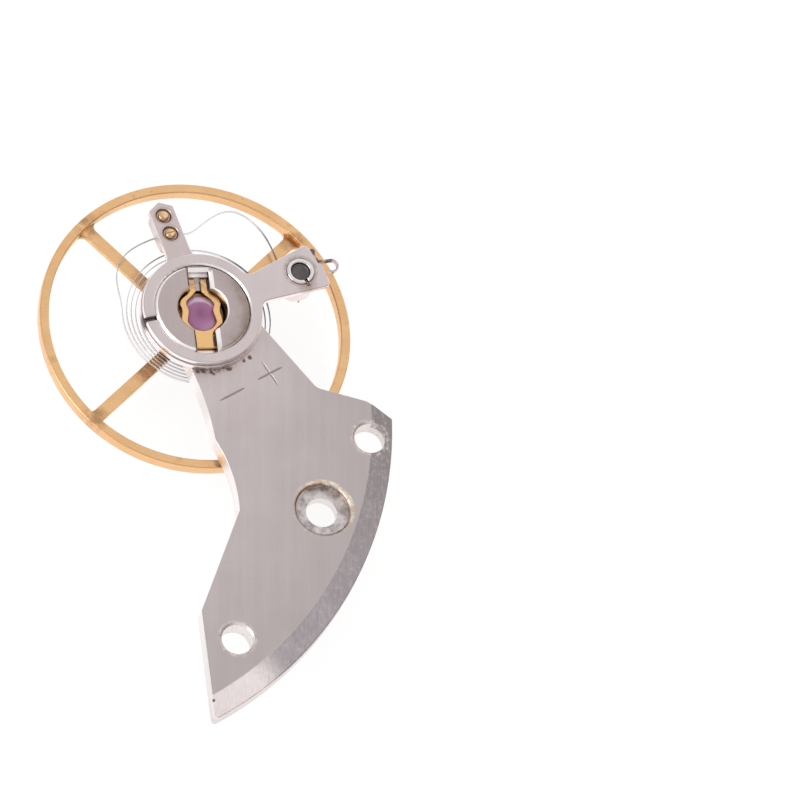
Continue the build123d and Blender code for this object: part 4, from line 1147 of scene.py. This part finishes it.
def carrier():
    """The split ring with its fan-shaped arm, the collar's seat and the step for the clip."""
    root_half, tip_half, step_angle, slit_w = 0.50, 0.82, 0.7, 0.15
    flare = (tip_half - root_half) / (carrier_end_r - carrier_ring_r)
    narrow = root_half - flare * carrier_ring_r

    def side_point(radius):
        """Where the arm's upper side meets a circle about the balance axis."""
        a, b, c = 1 + flare**2, 2 * flare * narrow, narrow**2 - radius**2
        x = (-b + sqrt(b * b - 4 * a * c)) / (2 * a)
        return (x, narrow + flare * x)

    root, far, seat = side_point(carrier_ring_r), side_point(carrier_end_r), side_point(clip_seat_r)
    slit = carrier_slit_angle - stud_angle + 360
    outer, inner = half_angle(slit_w, carrier_ring_r), half_angle(slit_w, bore_r)
    left_middle = along(carrier_ring_r, (slit + outer + 360 - direction(root)) / 2)
    right_middle = along(carrier_ring_r, (direction(root) + slit - outer) / 2)
    outline = loop([
        (along(carrier_ring_r, slit + outer), 0.05, left_middle), ((root[0], -root[1]), 0.30),
        ((far[0], -far[1]), 0.16, along(carrier_end_r, -direction(far) / 2)),
        (along(carrier_end_r, step_angle), 0.05), (along(clip_seat_r, step_angle), 0, along(clip_seat_r, 5)),
        (seat, 0.16), (root, 0.30, right_middle), (along(carrier_ring_r, slit - outer), 0.05),
        (along(bore_r, slit - inner), 0.05, along(bore_r, slit - 180)), (along(bore_r, slit + inner), 0.05)])
    seat_hole = moved(keyhole(collar_r, collar_slit_w, collar_r + 0.10, collar_slit_turn), (stud_reach, 0))
    body = plate("stud_arm", [turned_points(points, stud_angle) for points in (outline, seat_hole)],
                 carrier_low, carrier_top, rounding=0.045)
    start, above = block_r - 0.1, carrier_top + 0.1
    rim = lathe("rim", (
        (start, carrier_top - 0.10), (bore_r, carrier_top - 0.05), (bore_r + 0.05 + 0.1, above),
        (start, above)), rounding=0, steps=192)
    return cut(body, rim)


def collar():
    """The slit bush in the arm that grips the stud."""
    outline = split_ring(collar_r - 0.002, 0.31, collar_slit_w, stud_angle + collar_slit_turn)
    return plate("collar_bush", [moved(outline, stud_place)], bottom("stud_collar"), top("stud_collar"),
                 rounding=0.035)


def stud():
    """The stud: a flanged body with the spring's cross hole, and a neck that fills the collar."""
    low, shoulder, neck_top = bottom("hairspring_stud"), carrier_low - 0.04, top("hairspring_stud")
    flange, post_r, flange_r, stud_neck_r = cock_z + 0.06, 0.38, 0.56, 0.30
    body = lathe("stud_post", (
        (0, low), (post_r, low), (post_r, flange), (flange_r, flange), (flange_r, shoulder),
        (stud_neck_r, shoulder), (stud_neck_r, neck_top), (0.26, neck_top), (0.24, neck_top - 0.02),
        (0, neck_top - 0.03)), middle=stud_place, rounding=0.02, steps=96)
    return cut(body, cross_hole(stud_place, stud_angle))


def clip():
    """The thin strip along the arm's end, which leaves it and curls into an open hook."""
    thick, hook_r, knob_bulge = 0.06, 0.20, 0.07
    hook = (clip_hook_top[0], clip_hook_top[1] - hook_r)
    path = arc(clip_seat_r + thick / 2, 8.0, 1.7, step=0.35) + arc(hook_r, 90, 90 - 235, hook, step=10)
    left, right = [], []
    for before, here, after in zip([path[0]] + path, path, path[1:] + [path[-1]]):
        heading = Vector((after[0] - before[0], after[1] - before[1])).normalized()
        off_knob = hypot(here[0] - clip_knob[0], here[1] - clip_knob[1]) / clip_knob_r
        outer = thick / 2 + knob_bulge * sqrt(max(0.0, 1 - off_knob**2))
        left.append((here[0] - heading.y * outer, here[1] + heading.x * outer))
        right.append((here[0] + heading.y * thick / 2, here[1] - heading.x * thick / 2))
    outline = turned_points(left + right[::-1], stud_angle)
    return plate("clip_strip", [outline], bottom("stud_clip"), top("stud_clip"), rounding=0.014)


finished(carrier(), ["stud_carrier"], "stud_carrier", carrier_steel)
finished(collar(), ["stud_collar"], "stud_carrier", polished)
finished(stud(), ["hairspring_stud"], "stud_carrier", dark)
stud_wedge = taper_pin("stud_wedge", stud_reach, stud_angle, (0.030, 0.042), 0.41)
finished(stud_wedge, ["stud_pin"], "stud_carrier", shaded_brass)
finished(clip(), ["stud_clip"], "stud_carrier", strip)

# Hairspring: about ten fine turns in the space of the solid's few


def eased(angle, start, end, first, last):
    """A value that runs smoothly from first to last as the angle goes from start to end."""
    share = (angle - start) / (end - start)
    return first + (last - first) * (1 - cos(pi * share)) / 2


def spring_radius(angle):
    """The ribbon's distance from its own middle at an angle along its length."""
    for (start, first), (end, last) in zip(spring_stations, spring_stations[1:]):
        if start == coil_start and angle <= end:
            return first + (last - first) * (angle - start) / (end - start)
        if angle <= end:
            return eased(angle, start, end, first, last)
    return collet_hole_reach


def spring_place(angle):
    """A point on the ribbon's middle line. The outer turns hang a little to one side."""
    share = max(0, min(1, (coil_end - angle) / (coil_end - coil_start)))
    if angle <= coil_start:
        share = eased(max(angle, pins_end), pins_end, coil_start, 0, 1)
    x, y = along(spring_radius(angle), angle)
    return Vector((x + coil_shift[0] * share, y + coil_shift[1] * share, spring_mid))


def ribbon(line):
    """The vertices and faces of the ribbon's section swept along a line of points."""
    t, h, edge = spring_thick / 2, spring_h / 2, 0.005
    section = ((t, h - edge), (t - edge, h), (edge - t, h), (-t, h - edge),
               (-t, edge - h), (edge - t, -h), (t - edge, -h), (t, edge - h))
    last, size = len(line) - 1, len(section)
    vertices, faces = [], []
    for index, here in enumerate(line):
        heading = (line[min(index + 1, last)] - line[max(index - 1, 0)]).normalized()
        side = Vector((-heading.y, heading.x, 0))
        vertices += [(here + side * out + Vector((0, 0, up))) * MM for out, up in section]
    for first in range(0, last * size, size):
        for i in range(size):
            j = (i + 1) % size
            faces.append((first + i, first + j, first + size + j, first + size + i))
    faces += [tuple(range(size)), tuple(range(last * size, (last + 1) * size))[::-1]]
    return vertices, faces


def spring():
    """The ribbon swept along its line, with a weight that grows from the stud to the collet."""
    count = int((spring_end - tail_start) / arc_step)
    angles = [tail_start + (spring_end - tail_start) * i / count for i in range(count + 1)]
    line = [spring_place(angle) for angle in angles]
    lengths = [0.0]
    for before, here in zip(line, line[1:]):
        lengths.append(lengths[-1] + (here - before).length)
    free_start = next(length for length, angle in zip(lengths, angles) if angle > pins_end)
    vertices, faces = ribbon(line)
    mesh = bpy.data.meshes.new("spring_ribbon")
    mesh.from_pydata(vertices, [], faces)
    mesh.validate()
    shaded(mesh, crease=50)
    mesh.materials.append(spring_steel)
    shape = placed("spring_ribbon", mesh)
    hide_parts("hairspring")
    start, end = spring_place(pins_end) * MM, spring_place(spring_end) * MM
    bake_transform(shape, "stud_carrier", "balance", start=start, end=end)
    shares = [max(0.0, (length - free_start) / (lengths[-1] - free_start)) for length in lengths]
    per_place = len(vertices) // len(line)
    weights = [share for share in shares for _ in range(per_place)]
    mesh.attributes["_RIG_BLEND"].data.foreach_set("value", weights)


spring()

# Balance: wheel, staff, collet and rollers


def wheel():
    """The rim, and the thin arms and boss inside it, in one piece."""
    rim = drum("wheel_rim", rim_inner_r, wheel_r, wheel_z, rim_top, rounding=0.045, steps=288)
    half, turn = arm_w / 2, 360 / arm_count
    near, far = sqrt(boss_r**2 - half**2), sqrt(rim_inner_r**2 - half**2)
    window = loop([((near, half), 0.12), ((far, half), 0.22, along(rim_inner_r, turn / 2)),
                   (turned((far, -half), turn), 0.22),
                   (turned((near, -half), turn), 0.12, along(boss_r, turn / 2))])
    windows = [turned_points(window, angle) for angle in arm_angles]
    disc = ring(wheel_r - rim_w / 2, step=1.25)
    arms = plate("arms", [disc, *windows, ring(wheel_seat_r)], wheel_z + 0.005, arm_top, rounding=0.02)
    return fused(rim, arms)


def staff():
    """The axle with its two pivots, and its seats for the rollers, the wheel and the collet."""
    neck_r, flange_r, lower_pivot_h = 0.20, 0.50, 0.30
    rivet_z, staff_top = arm_top + 0.04, top("balance_staff")
    return lathe("staff_axle", (
        (0, 0), (pivot_r, 0), (pivot_r, lower_pivot_h), (hub_r, roller_z), (hub_r, hub_z), (flange_r, hub_z),
        (flange_r, wheel_z), (wheel_seat_r, wheel_z), (wheel_seat_r, rivet_z), (hub_r, rivet_z),
        (hub_r, collet_top), (neck_r, collet_top), (neck_r, collet_top + 0.10),
        (pivot_r, collet_top + 0.22), (pivot_r, staff_top), (0, staff_top)), rounding=0.012, steps=96)


def collet():
    """The ring that grips the staff, with a cross hole for the hairspring's inner end."""
    body = drum("collet_ring", hub_r, collet_r, collet_z, collet_top, rounding=0.03, steps=96)
    return cut(body, cross_hole(along(collet_hole_reach, hole_angle), hole_angle))


def impulse_outline():
    """The impulse pin's section: round, with a flat front."""
    radius, flat, reach = 0.17, 0.09, 0.93
    open_angle = degrees(acos(flat / radius))
    points = arc(radius, open_angle, 360 - open_angle, step=8)
    return turned_points(moved(points, (reach, 0)), impulse_angle)


def impulse_pin():
    """The ruby pin in the roller table."""
    low, high = bottom("impulse_jewel"), top("impulse_jewel")
    return plate("impulse_pin", [impulse_outline()], low, high, rounding=0.015)


def rollers():
    """The safety roller with its crescent, and the roller table above it."""
    table_z, safety_r, waist_r, table_r, waist_z = hub_z - 0.18, 0.55, 0.44, 1.15, roller_z + 0.28
    body = lathe("roller_discs", (
        (hub_r, roller_z), (safety_r, roller_z), (safety_r, waist_z), (waist_r, waist_z), (waist_r, table_z),
        (table_r, table_z), (table_r, hub_z), (hub_r, hub_z)), rounding=0.02)
    crescent_r, crescent_place = 0.20, along(0.62, impulse_angle)
    crescent = drum("crescent", 0, crescent_r, roller_z - 0.2, waist_z + 0.01, crescent_place,
                    rounding=0, steps=48)
    seat = plate("seat", [impulse_outline()], table_z - 0.1, hub_z + 0.1, rounding=0)
    return cut(body, crescent, seat)


finished(wheel(), ["balance_wheel"], "balance", wheel_gold)
finished(staff(), ["balance_staff"], "balance", polished)
finished(collet(), ["collet"], "balance", shaded_brass)
collet_wedge = taper_pin("collet_wedge", collet_hole_reach, hole_angle, (0.042, 0.032), 0.28)
finished(collet_wedge, ["collet_pin"], "balance", shaded_brass)
finished(rollers(), ["double_roller"], "balance", polished)
finished(impulse_pin(), ["impulse_jewel"], "balance", jewel)

# Floor, light and camera


def floor():
    """A white floor that keeps a soft shadow. From below it lets the view through."""
    size, drop = 0.6, 0.00003
    corners = [(-size, -size, -drop), (size, -size, -drop), (size, size, -drop), (-size, size, -drop)]
    mesh = bpy.data.meshes.new("floor")
    mesh.from_pydata(corners, [], [(0, 1, 2, 3)])
    material = bpy.data.materials.new("floor")
    mesh.materials.append(material)
    nodes = Nodes(material)
    nodes.tree.nodes.clear()
    mirrored = nodes.add("LightPath", {}, "Is Glossy Ray") + nodes.add("LightPath", {}, "Is Transmission Ray")
    seen = nodes.add("LightPath", {}, "Is Camera Ray") * 0.84 + mirrored
    glow = nodes.add("Emission", {"Color": (1, 1, 1, 1), "Strength": seen})
    diffuse = nodes.add("BsdfDiffuse", {"Color": (0.24, 0.24, 0.24, 1)})
    both = nodes.add("AddShader", {0: glow, 1: diffuse})
    below = nodes.add("NewGeometry", {}, "Backfacing")
    surface = nodes.add("MixShader", {0: below, 1: both, 2: nodes.add("BsdfTransparent", {})})
    nodes.add("OutputMaterial", {"Surface": surface})
    shape = placed("floor", mesh)


def studio():
    """White surroundings, dimmer overhead but for one bright window, and brown at the right."""
    overhead_level, window_level, white = 0.62, 0.58, (1.0, 1.0, 1.0)
    world = bpy.data.worlds.new("studio")
    bpy.context.scene.world = world
    nodes = Nodes(world)
    nodes.tree.nodes.clear()
    ray = nodes.add("TexCoord", {}, "Generated")

    def towards(way):
        """The cosine of the angle between a ray and a direction."""
        return nodes.add("VectorMath", {0: ray, 1: way}, "Value", operation="DOT_PRODUCT")

    overhead = nodes.add("SeparateXYZ", {0: ray}, "Z").ramp(0.50, 0.80, 1.0, overhead_level)
    window = towards((0.30, 0.29, 0.909)).ramp(cos(radians(16)), cos(radians(7)), 0.0, window_level)
    tint = nodes.mix(towards((0.96, 0.22, 0.17)).ramp(0.62, 0.90), white, (0.45, 0.35, 0.30))
    seen = nodes.add("LightPath", {}, "Is Camera Ray")
    strength = nodes.add("Mix", {0: seen, 2: overhead + window, 3: 1.0}, data_type="FLOAT")
    background = nodes.add("Background", {"Color": nodes.mix(seen, tint, white), "Strength": strength})
    nodes.add("OutputWorld", {"Surface": background})


def lamp(name, way, energy, width):
    """A distant lamp that shines from a direction and looks a width in degrees wide."""
    light = bpy.data.lights.new(name, "SUN")
    light.energy = energy
    light.angle = radians(width)
    placed(name, light).rotation_euler = Vector(way).to_track_quat("Z", "Y").to_euler()


def camera():
    """A long lens at the photograph's angle, framed for an image 800 pixels square."""
    azimuth, elevation, roll = radians(7), radians(61), radians(25.4)
    distance, frame_width, sensor = 450.0, 25.19, 36.0
    pixels_per_mm = 31.76
    axis_pixel = Vector((200.46, 314.12))
    back = Vector((sin(azimuth) * cos(elevation), -cos(azimuth) * cos(elevation), sin(elevation)))
    level = Vector((cos(azimuth), sin(azimuth), 0))
    rise = back.cross(level)
    right = level * cos(roll) + rise * sin(roll)
    up = rise * cos(roll) - level * sin(roll)
    offset = (Vector((400, 400)) - axis_pixel) / pixels_per_mm
    target = Vector((0, 0, cock_top)) + right * offset.x - up * offset.y
    target -= back * (target.z - cock_top) / back.z
    data = bpy.data.cameras.new("camera")
    data.sensor_width = sensor
    data.lens = sensor * distance / frame_width
    data.clip_start, data.clip_end = 0.01, 10
    holder = placed("camera", data)
    turn = Matrix((right, up, back)).transposed().to_4x4()
    holder.matrix_world = Matrix.Translation((target + back * distance) * MM) @ turn
    bpy.context.scene.camera = holder


floor()
studio()
lamp("key", (-0.55, -0.62, 0.62), 0.9, 38)
lamp("fill", (0.10, 0.65, 0.9), 0.25, 60)
camera()
bpy.context.scene.view_settings.view_transform = "Standard"
